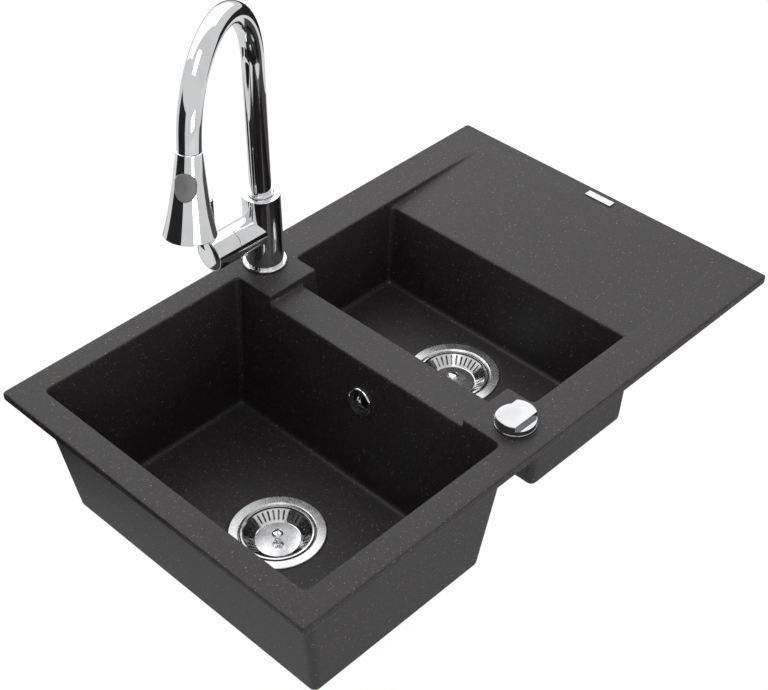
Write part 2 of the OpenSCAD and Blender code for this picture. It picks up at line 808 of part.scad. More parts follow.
// Pull cable: hand-set points from the knob's housing, between the bowls, to the lifter
cable_start = [knob_x, knob_y, housing_bottom - 2];
cable_end = [main_drain_x + lifter_r + 4, main_drain_y, main_floor + cable_z];
cable_route = [
  cable_start, [knob_x, knob_y, housing_bottom - 11], [knob_x, knob_y, housing_bottom - 20],
  [knob_x, knob_y + 2, housing_bottom - 31], [knob_x - 1, knob_y + 9, housing_bottom - 44],
  [knob_x - 3, knob_y + 24, -92], [knob_x - 7, knob_y + 48, -112], [knob_x - 12, knob_y + 78, -145],
  [knob_x - 21, knob_y + 107, -189], [knob_x - 41, knob_y + 136, main_floor - 60],
  [knob_x - 76, knob_y + 166, main_floor + cable_z + 6], cable_end + [44, -8, 1],
  cable_end + [24, 0, 0], cable_end + [11, 0, 0], cable_end
];
cable_steps = 5;
function spline(p, i, t) =
  let (a = p[max(i - 1, 0)], b = p[i], c = p[i + 1], d = p[min(i + 2, len(p) - 1)])
  0.5*(2*b + (c - a)*t + (2*a - 5*b + 4*c - d)*t*t + (3*b - a - 3*c + d)*t*t*t);
cable_points = concat(
  [for (i = [0:len(cable_route) - 2])
    for (k = [0:cable_steps - 1]) spline(cable_route, i, k/cable_steps)],
  [cable_end]);

module popup_cable() {
  color([0.1, 0.1, 0.1]) swept_rod(cable_points, cable_d/2, 8, [0.7, 0.7, 0]);
}

// Tap body and what holds it
module at_tap() {
  translate([tap_x, tap_y, 0]) children();
}

module along_boss(x0, x1, r) {
  translate([-x1, 0, boss_z]) rotate([0, 90, 0]) cylinder(r = r, h = x1 - x0);
}

module tap_base_gasket() {
  color([0.08, 0.08, 0.08])
    at_tap() ring_solid(base_ring_d/2 - 1, tap_hole_d/2 + 0.5, rim_t, rim_t + tap_gasket_t);
}

module tap_base_ring() {
  color([0.85, 0.85, 0.86])
    at_tap()
      difference() {
        union() {
          translate([0, 0, rim_t + tap_gasket_t]) cylinder(d = base_ring_d, h = base_ring_t - 1);
          translate([0, 0, body_z - 1]) cylinder(d = base_ring_d - 2, h = 1);
        }
        translate([0, 0, rim_t]) cylinder(r = shank_d/2 + 0.2, h = 10);
      }
}

module tap_body() {
  color([0.85, 0.85, 0.86])
    at_tap()
      difference() {
        union() {
          translate([0, 0, body_z]) cylinder(d = body_d, h = body_top_z - body_z - 1);
          translate([0, 0, body_top_z - 1]) cylinder(d = body_d - 2, h = 1);
          along_boss(0, boss_reach, boss_d/2);
        }
        translate([0, 0, bearing_z]) cylinder(r = bearing_r, h = 40);
        translate([0, 0, body_z - cut]) cylinder(r = shank_d/2 + seat_gap, h = shank_screwed + cut);
        translate([0, passage_y, body_z]) cylinder(r = passage_r, h = 100);
        along_boss(seat_x, boss_reach + cut, seat_r);
        for (p = ports) {
          translate([p[0], p[1], body_z]) cylinder(r = inlet_r, h = shank_screwed + inlet_l);
          translate([p[0], p[1], body_z + shank_screwed])
            cylinder(r = duct_r, h = p[2] - body_z - shank_screwed);
          translate([-seat_x - cut, p[1], p[2]]) rotate([0, 90, 0])
            cylinder(r = duct_r, h = seat_x + cut + p[0]);
        }
      }
}

module tap_shank() {
  color([0.78, 0.68, 0.42])
    at_tap() ring_solid(shank_d/2, shank_bore/2, -shank_l, body_z + shank_screwed);
}

module tap_rubber_washer() {
  color([0.08, 0.08, 0.08]) at_tap() ring_solid(washer_r, shank_d/2 + 0.2, deck_under - washer_t, deck_under);
}

module tap_steel_washer() {
  color([0.7, 0.7, 0.72])
    at_tap() ring_solid(washer_r, shank_d/2 + 0.2, shank_nut_top, deck_under - washer_t);
}

module tap_shank_nut() {
  color([0.78, 0.68, 0.42])
    at_tap()
      difference() {
        translate([0, 0, shank_nut_top - shank_nut_h])
          cylinder(r = washer_r, h = shank_nut_h, $fn = 8);
        translate([0, 0, shank_nut_top - shank_nut_h - cut])
          cylinder(r = shank_d/2 + seat_gap, h = shank_nut_h + 2*cut);
      }
}

// Cartridge and handle, along the boss
module mixing_cartridge() {
  color([0.88, 0.88, 0.86])
    at_tap()
      difference() {
        union() {
          along_boss(seat_x + 0.1, boss_reach - 5, seat_r - 0.1);
          along_boss(boss_reach - 6, boss_reach - 3, 14);
        }
        along_boss(boss_reach - 10, boss_reach, carrier_r + run_gap);
        for (p = ports)
          translate([-seat_x - 6, p[1], p[2]]) rotate([0, 90, 0]) cylinder(r = duct_r, h = 8);
      }
}

module cartridge_nut() {
  color([0.78, 0.68, 0.42])
    at_tap()
      difference() {
        along_boss(boss_reach - 5 + seat_gap, boss_reach - 0.4, seat_r - seat_gap);
        along_boss(boss_reach - 7, boss_reach + cut, 14.2);
      }
}

module cartridge_carrier() {
  color([0.92, 0.92, 0.9])
    at_tap()
      difference() {
        along_boss(boss_reach - 9.5, boss_reach + 2, carrier_r);
        translate([-boss_reach - 3, -spindle_w/2 - 0.1, boss_z - 7]) cube([9, spindle_w + 0.2, 14]);
        translate([-pivot_x, -15, boss_z]) rotate([-90, 0, 0]) cylinder(r = 2 + seat_gap, h = 30);
      }
}

module spindle_pin() {
  color([0.75, 0.75, 0.76])
    at_tap() translate([-pivot_x, -8.5, boss_z]) rotate([-90, 0, 0]) cylinder(r = 2, h = 17);
}

module cartridge_spindle() {
  color([0.78, 0.68, 0.42])
    at_tap()
      difference() {
        translate([-handle_x0 - 16.5, -spindle_w/2, boss_z - spindle_w/2])
          cube([handle_x0 + 16.5 - pivot_x + 3.5, spindle_w, spindle_w]);
        translate([-pivot_x, -15, boss_z]) rotate([-90, 0, 0]) cylinder(r = 2 + run_gap, h = 30);
      }
}

module handle_barrel() {
  socket_w = spindle_w + 0.1;
  color([0.85, 0.85, 0.86])
    at_tap()
      difference() {
        along_boss(handle_x0, handle_x1, boss_d/2);
        along_boss(handle_x0 - cut, handle_x0 + 9, boss_d/2 - 2.6);
        along_boss(handle_x1 - 2.5, handle_x1 + cut, boss_d/2 - 1.4);
        translate([-handle_x0 - 17, -socket_w/2, boss_z - socket_w/2]) cube([20, socket_w, socket_w]);
        translate([-lever_x, 0, boss_z + spindle_w/2 + 5]) cylinder(d = lever_d + 2*seat_gap, h = boss_d);
        translate([-handle_x0 - 14, 0, boss_z - boss_d])
          cylinder(r = 2.5 + seat_gap, h = boss_d - spindle_w/2);
        translate([-handle_x0, boss_d, boss_z]) rotate([90, 0, 0])
          linear_extrude(2*boss_d)
            polygon([[cut, 0], [0, 0], [-boss_d*tan(handle_tilt + 2), -boss_d], [cut, -boss_d]]);
      }
}

module handle_cap() {
  cap_r = boss_d/2 - 1.4 - seat_gap;
  color([0.8, 0.8, 0.81])
    at_tap()
      translate([-handle_x1 + 2.5, 0, boss_z]) rotate([0, -90, 0])
        rotate_extrude()
          polygon([[0, 0], [cap_r, 0], [cap_r, 2.6], [cap_r - 1.5, 3.1], [cap_r*0.55, 3.7], [0, 4]]);
}

module handle_lever() {
  color([0.85, 0.85, 0.86])
    at_tap() {
      translate([-lever_x, 0, boss_z + spindle_w/2 + 5])
        cylinder(d = lever_d, h = lever_h - spindle_w/2 - 5 - lever_d/2);
      translate([-lever_x, 0, boss_z + lever_h - lever_d/2]) sphere(d = lever_d);
    }
}

module handle_grub_screw() {
  color([0.3, 0.3, 0.3])
    at_tap()
      difference() {
        translate([-handle_x0 - 14, 0, boss_z - boss_d/2 + 2])
          cylinder(r = 2.5, h = boss_d/2 - 2 - spindle_w/2);
        translate([-handle_x0 - 14, 0, boss_z - boss_d/2 + 1]) cylinder(r = 1.3, h = 4, $fn = 6);
      }
}

// Spout: local X points where the spout points
module spout_frame() {
  translate([tap_x, tap_y, 0]) rotate([0, 0, spout_turn]) children();
}

module leg_frame() {
  spout_frame()
    translate([arch_r + arch_r*cos(arch_rest), 0, arch_z + arch_r*sin(arch_rest)])
      rotate([0, -arch_rest, 0]) children();
}

module spout_bearing() {
  color([0.9, 0.9, 0.88])
    at_tap() ring_solid(bearing_r - seat_gap, spout_d/2 + run_gap, bearing_z, body_top_z - 1);
}

module spout_collar() {
  color([0.85, 0.85, 0.86])
    spout_frame() {
      ring_solid(spout_d/2 + 2.4, spout_d/2 + seat_gap, body_top_z + 0.3, body_top_z + 2);
      ring_solid(spout_d/2 + 1.6, spout_d/2 + seat_gap, body_top_z + 2 - 0.01, body_top_z + 3);
    }
}

module spout_tube() {
  color([0.87, 0.87, 0.88]) {
    spout_frame() ring_solid(spout_d/2, tube_bore_r, bearing_z + 1, arch_z + weld_l);
    spout_frame() translate([arch_r, 0, arch_z]) rotate([90, 0, 0]) rotate([0, 0, arch_rest])
      rotate_extrude(angle = arch_sweep)
        translate([arch_r, 0])
          difference() {
            circle(r = spout_d/2 - weld_step);
            circle(r = tube_bore_r + weld_step);
          }
    leg_frame() ring_solid(spout_d/2, tube_bore_r, -leg_l, weld_l);
  }
}

module spout_docking_ring() {
  color([0.15, 0.15, 0.15])
    leg_frame() ring_solid(tube_bore_r - seat_gap, 9 + loose, -leg_l, -6);
}

module head_frame() {
  leg_frame() rotate([0, 0, head_turn]) children();
}

// Solid of revolution that follows the flare from z0 down to z1, grown by grow
module flare_solid(z0, z1, grow) {
  rotate_extrude()
    polygon(concat([[0, z0]],
      [for (i = [0:head_steps]) let (z = z0 + (z1 - z0)*i/head_steps) [head_r(z) + grow, z]],
      [[0, z1]]));
}

module button_stadium(w, l, depth) {
  translate([0, 0, button_z]) rotate([0, 90, 0])
    for (s = [-1, 1])
      translate([s*(l - w)/2, 0, depth]) cylinder(d = w, h = 40);
  translate([depth, -w/2, button_z - (l - w)/2]) cube([40, w, l - w]);
}

module spray_head_shell() {
  head_end = head_z - head_l;
  pocket_x = head_r(button_z) - button_deep - button_travel - loose;
  color([0.86, 0.86, 0.87])
    head_frame()
      difference() {
        flare_solid(head_z, head_end, 0);
        flare_solid(head_z - 52, head_end - cut, -3);
        translate([0, 0, head_z - 60]) cylinder(r = 6, h = 70);
        translate([0, 0, head_z - 6]) cylinder(r = 9 + seat_gap, h = 10);
        button_stadium(button_w + 2*loose, button_l + 2*loose, pocket_x);
      }
}

module spray_button() {
  color([0.45, 0.45, 0.46])
    head_frame()
      intersection() {
        flare_solid(button_z + button_l, button_z - button_l, button_proud);
        button_stadium(button_w, button_l, head_r(button_z) - button_deep);
      }
}

module spray_face() {
  face_z = head_z - head_l + 2;
  color([0.3, 0.3, 0.31])
    head_frame()
      difference() {
        flare_solid(face_z + 5, face_z, -3 - loose);
        translate([0, 0, face_z - cut]) cylinder(r = 9 + seat_gap, h = 7);
        for (i = [0:17])
          rotate([0, 0, 20*i]) translate([18, 0, face_z - cut]) cylinder(r = 0.9, h = 7);
      }
}

module spray_aerator() {
  face_z = head_z - head_l + 2;
  color([0.7, 0.7, 0.72])
    head_frame()
      difference() {
        translate([0, 0, face_z - 0.5]) cylinder(r = 9, h = 8);
        for (i = [0:5])
          rotate([0, 0, 60*i]) translate([5, 0, face_z - 2]) cylinder(r = 1.2, h = 12);
      }
}

module spray_hose_connector() {
  color([0.78, 0.68, 0.42])
    head_frame() ring_solid(9, 5, head_z - 6, -7);
}

sink_casting();
badge_plate();
overflow_cover();
overflow_screw();
overflow_gasket();
overflow_elbow();
overflow_hose();
at_main() waste_flange();  // main_waste_flange
at_main() flange_gasket();  // main_flange_gasket
at_main() waste_body(true);  // main_waste_body
at_main() body_gasket();  // main_body_gasket
at_main() waste_screw(true);  // main_waste_screw
at_main() strainer_basket();  // main_strainer_basket
at_main() plug_seal();  // main_plug_seal
at_main() basket_knob();  // main_basket_knob
at_main() lifter_pin();  // main_lifter_pin
at_main() lifter_housing();  // main_lifter_housing
at_half() waste_flange();  // half_waste_flange
at_half() flange_gasket();  // half_flange_gasket
at_half() waste_body(false);  // half_waste_body
at_half() body_gasket();  // half_body_gasket
at_half() waste_screw(false);  // half_waste_screw
at_half() strainer_basket();  // half_strainer_basket
at_half() plug_seal();  // half_plug_seal
at_half() basket_knob();  // half_basket_knob
popup_knob_cap();
popup_knob_base();
popup_knob_gasket();
popup_knob_shaft();
popup_knob_housing();
popup_knob_nut();
popup_cable();
tap_base_gasket();
tap_base_ring();
tap_body();
tap_shank();
tap_rubber_washer();
tap_steel_washer();
tap_shank_nut();
mixing_cartridge();
cartridge_nut();
cartridge_carrier();
cartridge_spindle();
spindle_pin();
handle_barrel();
handle_cap();
handle_lever();
handle_grub_screw();
spout_bearing();
spout_collar();
spout_tube();
spout_docking_ring();
spray_head_shell();
spray_face();
spray_aerator();
spray_button();
spray_hose_connector();
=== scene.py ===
# %% [markdown]
# # One and a half bowl sink
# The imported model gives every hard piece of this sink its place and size, in metres.
# Here the pieces that show get their rounded edges, their finer shapes and their finishes.
# The origin is the middle of the worktop cut-out, X runs along the drainer and Z points up.

# %% Load the frame
import json
import time
from contextlib import contextmanager
from math import cos, hypot, pi, radians, sin, sqrt, tan

import bmesh
import bpy
from mathutils import Matrix, Vector
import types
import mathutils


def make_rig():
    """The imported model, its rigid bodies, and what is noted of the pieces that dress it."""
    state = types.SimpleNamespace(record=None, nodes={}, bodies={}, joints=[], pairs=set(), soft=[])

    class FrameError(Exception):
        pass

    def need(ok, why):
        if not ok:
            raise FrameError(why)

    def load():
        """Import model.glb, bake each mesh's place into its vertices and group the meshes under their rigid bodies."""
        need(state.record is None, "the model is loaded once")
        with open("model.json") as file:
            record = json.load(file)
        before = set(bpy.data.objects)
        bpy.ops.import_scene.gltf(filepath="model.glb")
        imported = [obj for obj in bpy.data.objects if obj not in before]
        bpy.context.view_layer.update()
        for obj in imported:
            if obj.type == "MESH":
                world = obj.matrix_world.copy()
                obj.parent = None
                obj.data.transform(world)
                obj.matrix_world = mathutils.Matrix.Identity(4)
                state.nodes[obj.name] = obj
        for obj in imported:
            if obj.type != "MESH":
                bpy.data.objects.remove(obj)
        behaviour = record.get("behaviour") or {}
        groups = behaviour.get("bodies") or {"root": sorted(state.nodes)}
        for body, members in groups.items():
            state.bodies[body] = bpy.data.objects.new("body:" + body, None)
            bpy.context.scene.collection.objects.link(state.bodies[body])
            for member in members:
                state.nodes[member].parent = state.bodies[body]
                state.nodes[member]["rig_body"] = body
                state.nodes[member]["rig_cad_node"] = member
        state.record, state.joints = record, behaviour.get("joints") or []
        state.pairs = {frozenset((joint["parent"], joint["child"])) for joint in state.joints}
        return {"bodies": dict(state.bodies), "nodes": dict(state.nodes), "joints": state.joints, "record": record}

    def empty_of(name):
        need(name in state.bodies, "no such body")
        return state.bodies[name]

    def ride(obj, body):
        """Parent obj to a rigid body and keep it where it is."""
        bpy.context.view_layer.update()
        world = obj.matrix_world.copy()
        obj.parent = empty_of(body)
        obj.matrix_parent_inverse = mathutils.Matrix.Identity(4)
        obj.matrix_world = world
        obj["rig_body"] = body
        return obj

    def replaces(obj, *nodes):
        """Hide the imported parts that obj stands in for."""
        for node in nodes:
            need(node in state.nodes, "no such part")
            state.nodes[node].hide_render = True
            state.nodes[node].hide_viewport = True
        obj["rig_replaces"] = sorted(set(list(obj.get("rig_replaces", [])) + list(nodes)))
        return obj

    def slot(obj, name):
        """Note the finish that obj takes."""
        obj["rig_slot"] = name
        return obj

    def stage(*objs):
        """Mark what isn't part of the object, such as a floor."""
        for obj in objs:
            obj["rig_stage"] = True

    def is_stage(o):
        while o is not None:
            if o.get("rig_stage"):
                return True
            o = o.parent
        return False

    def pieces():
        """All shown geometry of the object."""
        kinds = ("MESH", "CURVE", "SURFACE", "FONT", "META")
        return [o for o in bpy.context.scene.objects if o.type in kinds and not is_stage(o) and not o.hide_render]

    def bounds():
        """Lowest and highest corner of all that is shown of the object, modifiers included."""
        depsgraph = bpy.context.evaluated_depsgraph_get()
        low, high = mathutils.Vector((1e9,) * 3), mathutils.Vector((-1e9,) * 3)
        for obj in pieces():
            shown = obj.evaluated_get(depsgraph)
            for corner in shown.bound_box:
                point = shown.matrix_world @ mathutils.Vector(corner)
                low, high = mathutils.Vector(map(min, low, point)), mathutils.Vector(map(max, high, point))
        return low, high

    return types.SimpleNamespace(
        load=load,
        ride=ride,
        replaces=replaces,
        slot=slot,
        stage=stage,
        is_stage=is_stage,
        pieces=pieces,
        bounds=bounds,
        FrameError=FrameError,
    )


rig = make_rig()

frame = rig.load()
cad_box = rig.bounds()
scene = bpy.context.scene
scene.view_settings.view_transform = "Standard"
print("nodes", len(frame["nodes"]), "bodies", len(frame["bodies"]))

# %% [markdown]
# ## Camera
# The view was solved from the four corners of the rim: the camera stands in front of the
# main bowl's corner and looks down at about forty degrees through a long lens.

# %% Camera
AZIMUTH, ELEVATION, ROLL = radians(-45.526), radians(40.042), radians(-0.151)
CAMERA_AT = (-1.03373, -0.988434, 1.191647)
SENSOR_W, FOCAL_L = 36.0, 76.09


def added(name, data):
    """A new object in the scene."""
    piece = bpy.data.objects.new(name, data)
    scene.collection.objects.link(piece)
    return piece


back = Vector((sin(AZIMUTH)*cos(ELEVATION), -cos(AZIMUTH)*cos(ELEVATION), sin(ELEVATION)))
level = Vector((cos(AZIMUTH), sin(AZIMUTH), 0))
upright = back.cross(level)
right = cos(ROLL)*level + sin(ROLL)*upright
up = -sin(ROLL)*level + cos(ROLL)*upright
lens = bpy.data.cameras.new("photo_camera")
lens.sensor_fit, lens.sensor_width, lens.lens = "HORIZONTAL", SENSOR_W, FOCAL_L
lens.clip_start, lens.clip_end = 0.05, 50
camera = added("photo_camera", lens)
camera.matrix_world = Matrix.Translation(CAMERA_AT) @ Matrix((right, up, back)).transposed().to_4x4()
scene.camera = camera
print("camera at", [round(v, 3) for v in camera.location])

# %% [markdown]
# ## Node arithmetic
# A finish is a sum of small steps: a noise, a threshold, a mix. Writing those steps as plain
# arithmetic keeps them readable. One class wraps a node's output, one holds a tree of nodes,
# and a finish is such a tree round one shader.

# %% Node trees and finishes
class Flow:
    """The output of a node. Arithmetic on it adds Math nodes."""

    def __init__(self, net, socket):
        self.net, self.socket = net, socket

    def math(self, operation, *values):
        return self.net.node("ShaderNodeMath", dict(enumerate(values)), operation=operation)

    def __add__(self, other): return self.math("ADD", self, other)
    def __radd__(self, other): return self.math("ADD", self, other)
    def __rsub__(self, other): return self.math("SUBTRACT", other, self)
    def __mul__(self, other): return self.math("MULTIPLY", self, other)
    def __truediv__(self, other): return self.math("DIVIDE", self, other)

    def above(self, low, high, least=0.0, most=1.0):
        """The least value under low, the most over high, smooth between."""
        return self.net.node("ShaderNodeMapRange",
                             {"Value": self, "From Min": low, "From Max": high, "To Min": least, "To Max": most},
                             interpolation_type="SMOOTHSTEP")


class Net:
    """A node tree in which an input takes a number or another node's output."""

    def __init__(self, tree):
        self.tree = tree
        tree.nodes.clear()

    def put(self, socket, value):
        if isinstance(value, Flow):
            self.tree.links.new(value.socket, socket)
        else:
            socket.default_value = value

    def node(self, kind, inputs=None, output=0, **settings):
        made = self.tree.nodes.new(kind)
        for key, value in settings.items():
            setattr(made, key, value)
        for key, value in (inputs or {}).items():
            self.put(made.inputs[key], value)
        return Flow(self, made.outputs[output])

    def end_with(self, kind, value):
        self.put(self.tree.nodes.new(kind).inputs[0], value)


class Finish(Net):
    """A material under construction, with constants set on its shader's own sockets."""

    def __init__(self, name, **constants):
        self.material = bpy.data.materials.new(name)
        self.material.use_nodes = True
        super().__init__(self.material.node_tree)
        self.shader = self.tree.nodes.new("ShaderNodeBsdfPrincipled")
        self.lit = Flow(self, self.shader.outputs[0])
        for key, value in constants.items():
            self.set(key.replace("_", " ").title(), value)

    def set(self, name, value):
        self.put(self.shader.inputs[name], value)

    def done(self, surface=None):
        """The material, ending in its shader or in another surface made from it."""
        self.end_with("ShaderNodeOutputMaterial", surface or self.lit)
        return self.material

    def texture(self, kind, inputs):
        """A texture on object coordinates, in metres."""
        return self.node(kind, {"Vector": self.node("ShaderNodeTexCoord", output="Object"), **inputs})

    def noise(self, scale, detail=2.0, roughness=0.5):
        return self.texture("ShaderNodeTexNoise", {"Scale": scale, "Detail": detail, "Roughness": roughness})

    def cells(self, scale):
        return self.texture("ShaderNodeTexVoronoi", {"Scale": scale})

    def mix(self, share, one, other):
        return self.node("ShaderNodeMix", {0: share, 6: one, 7: other}, 2, data_type="RGBA")

    def bump(self, height, distance, strength):
        self.set("Normal", self.node("ShaderNodeBump", {"Height": height, "Distance": distance, "Strength": strength}))


def rgb(red, green, blue):
    return (red, green, blue, 1.0)


print("finish helpers ready")

# %% [markdown]
# ## Granite composite
# The bowl is cast from stone grains in resin. It reads as one warm black with a fine mottle,
# sparse pale and gold grains about a millimetre across, and a dull sheen that lifts the flat
# top. Cells give the grains and noise decides which of them are bright.

# %% Granite finish
RESIN_DARK, RESIN_LIGHT = rgb(0.0134, 0.0114, 0.0119), rgb(0.0273, 0.0231, 0.0240)
RESIN_CLOUD = rgb(0.0220, 0.0188, 0.0195)
GOLD_GRAIN, PALE_GRAIN = rgb(0.30, 0.235, 0.15), rgb(0.52, 0.49, 0.44)


def granite_finish():
    f = Finish("black granite composite")
    mottle = f.noise(260.0, 3.0, 0.6)
    cloud = f.noise(9.0)
    base = f.mix(mottle.above(0.3, 0.7), RESIN_DARK, RESIN_LIGHT)
    base = f.mix(cloud.above(0.35, 0.75)*0.35, base, RESIN_CLOUD)
    grain = f.cells(520.0)
    gold = (1.0 - grain.above(0.16, 0.34))*f.noise(640.0, 0.0).above(0.62, 0.68)
    base = f.mix(gold, base, GOLD_GRAIN)
    pale = (1.0 - f.cells(300.0).above(0.10, 0.20))*f.noise(210.0, 0.0).above(0.66, 0.70)
    f.set("Base Color", f.mix(pale, base, PALE_GRAIN))
    f.set("Roughness", 0.46 + mottle*0.14)
    f.bump(mottle + grain*0.5, 0.0004, 0.35)
    return f.done()


granite = granite_finish()
print("made", granite.name)

# %% [markdown]
# ## Metals
# Chrome plate is almost a perfect mirror: what shows is the room. Only a faint unevenness and
# a few wipe marks in its roughness keep it from looking like glass. The knob and the plate on
# the drainer have a softer plate. The flanges and baskets are stainless steel, satin where they
# were turned.

# %% Metal finishes
def chrome_finish(name, tone):
    f = Finish(name, metallic=1.0)
    wipe = f.noise(45.0, 3.0)
    clean, wiped = (rgb(t, t + 0.005, t + 0.015) for t in (tone, tone - 0.06))
    f.set("Base Color", f.mix(wipe.above(0.4, 0.7), clean, wiped))
    f.set("Roughness", 0.035 + wipe.above(0.45, 0.8)*0.05)
    return f.done()


def steel_finish(name, tone, rough):
    f = Finish(name, metallic=1.0)
    grain, cloud = f.noise(900.0), f.noise(60.0)
    dull, bright = (rgb(t, t, t + 0.01) for t in (tone, tone + 0.1))
    f.set("Base Color", f.mix(cloud.above(0.3, 0.7), dull, bright))
    f.set("Roughness", rough + grain.above(0.3, 0.7)*0.10 + cloud.above(0.4, 0.8)*0.06)
    return f.done()


def brass_finish():
    f = Finish("plain brass", metallic=1.0)
    tarnish = f.noise(120.0, 3.0)
    f.set("Base Color", f.mix(tarnish.above(0.35, 0.75), rgb(0.70, 0.55, 0.28), rgb(0.55, 0.41, 0.20)))
    f.set("Roughness", 0.22 + tarnish*0.2)
    return f.done()


chrome, brass = chrome_finish("chrome plate", 0.86), brass_finish()
soft_chrome = chrome_finish("brushed chrome plate", 0.47)
steel = steel_finish("satin stainless steel", 0.66, 0.19)
pressed = steel_finish("pressed stainless steel", 0.74, 0.08)
print("made", chrome.name, soft_chrome.name, brass.name, steel.name, pressed.name)

# %% [markdown]
# ## Plastics and rubber
# Moulded pieces have an even colour with a fine texture from the mould; rubber is darker
# and duller, and picks up pale dust.

# %% Plastic and rubber finishes
def moulded(name, colour, worn, rough):
    f = Finish(name)
    fine, broad = f.noise(700.0), f.noise(30.0)
    f.set("Base Color", f.mix(broad.above(0.35, 0.75), rgb(*colour), rgb(*worn)))
    f.set("Roughness", rough + fine*0.12)
    f.bump(fine, 0.0002, 0.25)
    return f.done()


white_plastic = moulded("white waste plastic", (0.72, 0.72, 0.70), (0.66, 0.66, 0.63), 0.38)
black_plastic = moulded("black moulded plastic", (0.018, 0.018, 0.019), (0.026, 0.026, 0.027), 0.42)
grey_plastic = moulded("grey button plastic", (0.255, 0.255, 0.258), (0.285, 0.285, 0.288), 0.38)
hose_plastic = moulded("grey hose plastic", (0.42, 0.42, 0.43), (0.37, 0.37, 0.38), 0.45)
rubber = moulded("black rubber", (0.014, 0.014, 0.014), (0.022, 0.022, 0.022), 0.72)
print("plastics and rubber made")

# %% [markdown]
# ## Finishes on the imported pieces
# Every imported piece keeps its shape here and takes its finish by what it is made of.

# %% Assign finishes
BY_SLOT = {
    "granite": granite, "chrome": chrome, "steel": steel, "brass": brass, "black_rubber": rubber,
    "white_plastic": white_plastic, "black_plastic": black_plastic, "grey_plastic": grey_plastic,
}
slots = {part["node"]: part["material_slot"] for part in frame["record"]["subparts"]}


def paint(piece, material):
    piece.data.materials.clear()
    piece.data.materials.append(material)


for name, piece in frame["nodes"].items():
    paint(piece, BY_SLOT[slots[name]])
print("painted", len(slots), "nodes")

# %% [markdown]
# ## Making pieces
# Most visible pieces are turned: a profile spun round an axis. A real turned piece never has a
# knife edge, so every profile corner gets a small round before it is spun. A piece is made at
# its place in the mesh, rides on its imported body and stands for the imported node.

# %% Shapes
MM, TAU = 0.001, 2*pi
FLAT = Matrix.Identity(4)
WELD = 1e-6  # corners nearer than this are one, in metres
began = time.time()


def at(x, y, z):
    """Place of a point in millimetres."""
    return Matrix.Translation((x*MM, y*MM, z*MM))


def turn(degrees, axis):
    return Matrix.Rotation(radians(degrees), 4, axis)


def rounded(points, radius, steps=3, most=0.42):
    """Closed profile with each corner away from the axis cut by an arc, up to a share of its edges."""
    made = []
    for i, (x, y) in enumerate(points):
        before, here, after = Vector(points[i - 1]), Vector((x, y)), Vector(points[(i + 1) % len(points)])
        a, b = before - here, after - here
        one, two = a.normalized(), b.normalized()
        if x < 1e-9 or abs(one.dot(two)) > 0.995:
            made.append((x, y))
            continue
        half = a.angle(b)/2
        cut = min(radius/tan(half), most*a.length, most*b.length)
        middle = here + (one + two).normalized()*(cut*tan(half)/sin(half))
        start, end = here + one*cut - middle, here + two*cut - middle
        whole = start.angle_signed(end)
        for k in range(steps + 1):
            c, s = cos(-whole*k/steps), sin(-whole*k/steps)
            made.append(tuple(middle + Vector((start.x*c - start.y*s, start.x*s + start.y*c))))
    return made


def turned(profile, radius=0.0, steps=96, place=FLAT):
    """Bmesh of a closed (radius, height) profile in millimetres, spun round Z and then placed."""
    bm = bmesh.new()
    circle = [(cos(TAU*k/steps), sin(TAU*k/steps)) for k in range(steps)]
    rings = []
    for r, z in rounded(profile, radius) if radius else profile:
        unit = circle if r > 1e-6 else [(0, 0)]
        rings.append([bm.verts.new((r*MM*c, r*MM*s, z*MM)) for c, s in unit])
    for ring, after in zip(rings, rings[1:] + rings[:1]):
        for k in range(steps):
            m = (k + 1) % steps
            if len(ring) > 1 and len(after) > 1:
                bm.faces.new((ring[k], ring[m], after[m], after[k]))
            elif len(after) > 1:
                bm.faces.new((ring[0], after[m], after[k]))
            elif len(ring) > 1:
                bm.faces.new((ring[k], ring[m], after[0]))
    bmesh.ops.recalc_face_normals(bm, faces=bm.faces)
    bm.transform(place)
    return bm


def loose(name, bm):
    """A working object from a bmesh."""
    mesh = bpy.data.meshes.new(name)
    bm.to_mesh(mesh)
    bm.free()
    return added(name, mesh)


def lathe(name, *shape):
    """A working object from what turned() takes."""
    return loose(name, turned(*shape))


print("shapes ready")

# %% Settling pieces
def bake(piece):
    """Turns a piece's modifiers into plain mesh."""
    graph = bpy.context.evaluated_depsgraph_get()
    mesh = bpy.data.meshes.new_from_object(piece.evaluated_get(graph))
    piece.modifiers.clear()
    piece.data = mesh
    return piece


def stand_for(piece, material, body, node):
    """Gives a shaded piece its finish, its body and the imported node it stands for."""
    paint(piece, material)
    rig.ride(piece, body)
    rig.replaces(piece, node)
    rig.slot(piece, slots[node])
    print(piece.name, len(piece.data.polygons), "faces", round(time.time() - began, 1), "s")


def settle(piece, material, body, node, angle=35.0):
    """Smooth shading that keeps hard edges, with flat faces ruling their corners; then stands for a node."""
    piece.data.shade_smooth()
    piece.data.set_sharp_from_angle(angle=radians(angle))
    weigh = piece.modifiers.new("weigh", "WEIGHTED_NORMAL")
    weigh.keep_sharp, weigh.weight = True, 100
    stand_for(bake(piece), material, body, node)


print("piece helpers ready")

# %% [markdown]
# ## Geometry Nodes recipes
# Slots, nozzles, ribs and tubes repeat or follow a path, so each is a node tree with named
# sizes. A recipe ends by making its copies real and setting the finish.

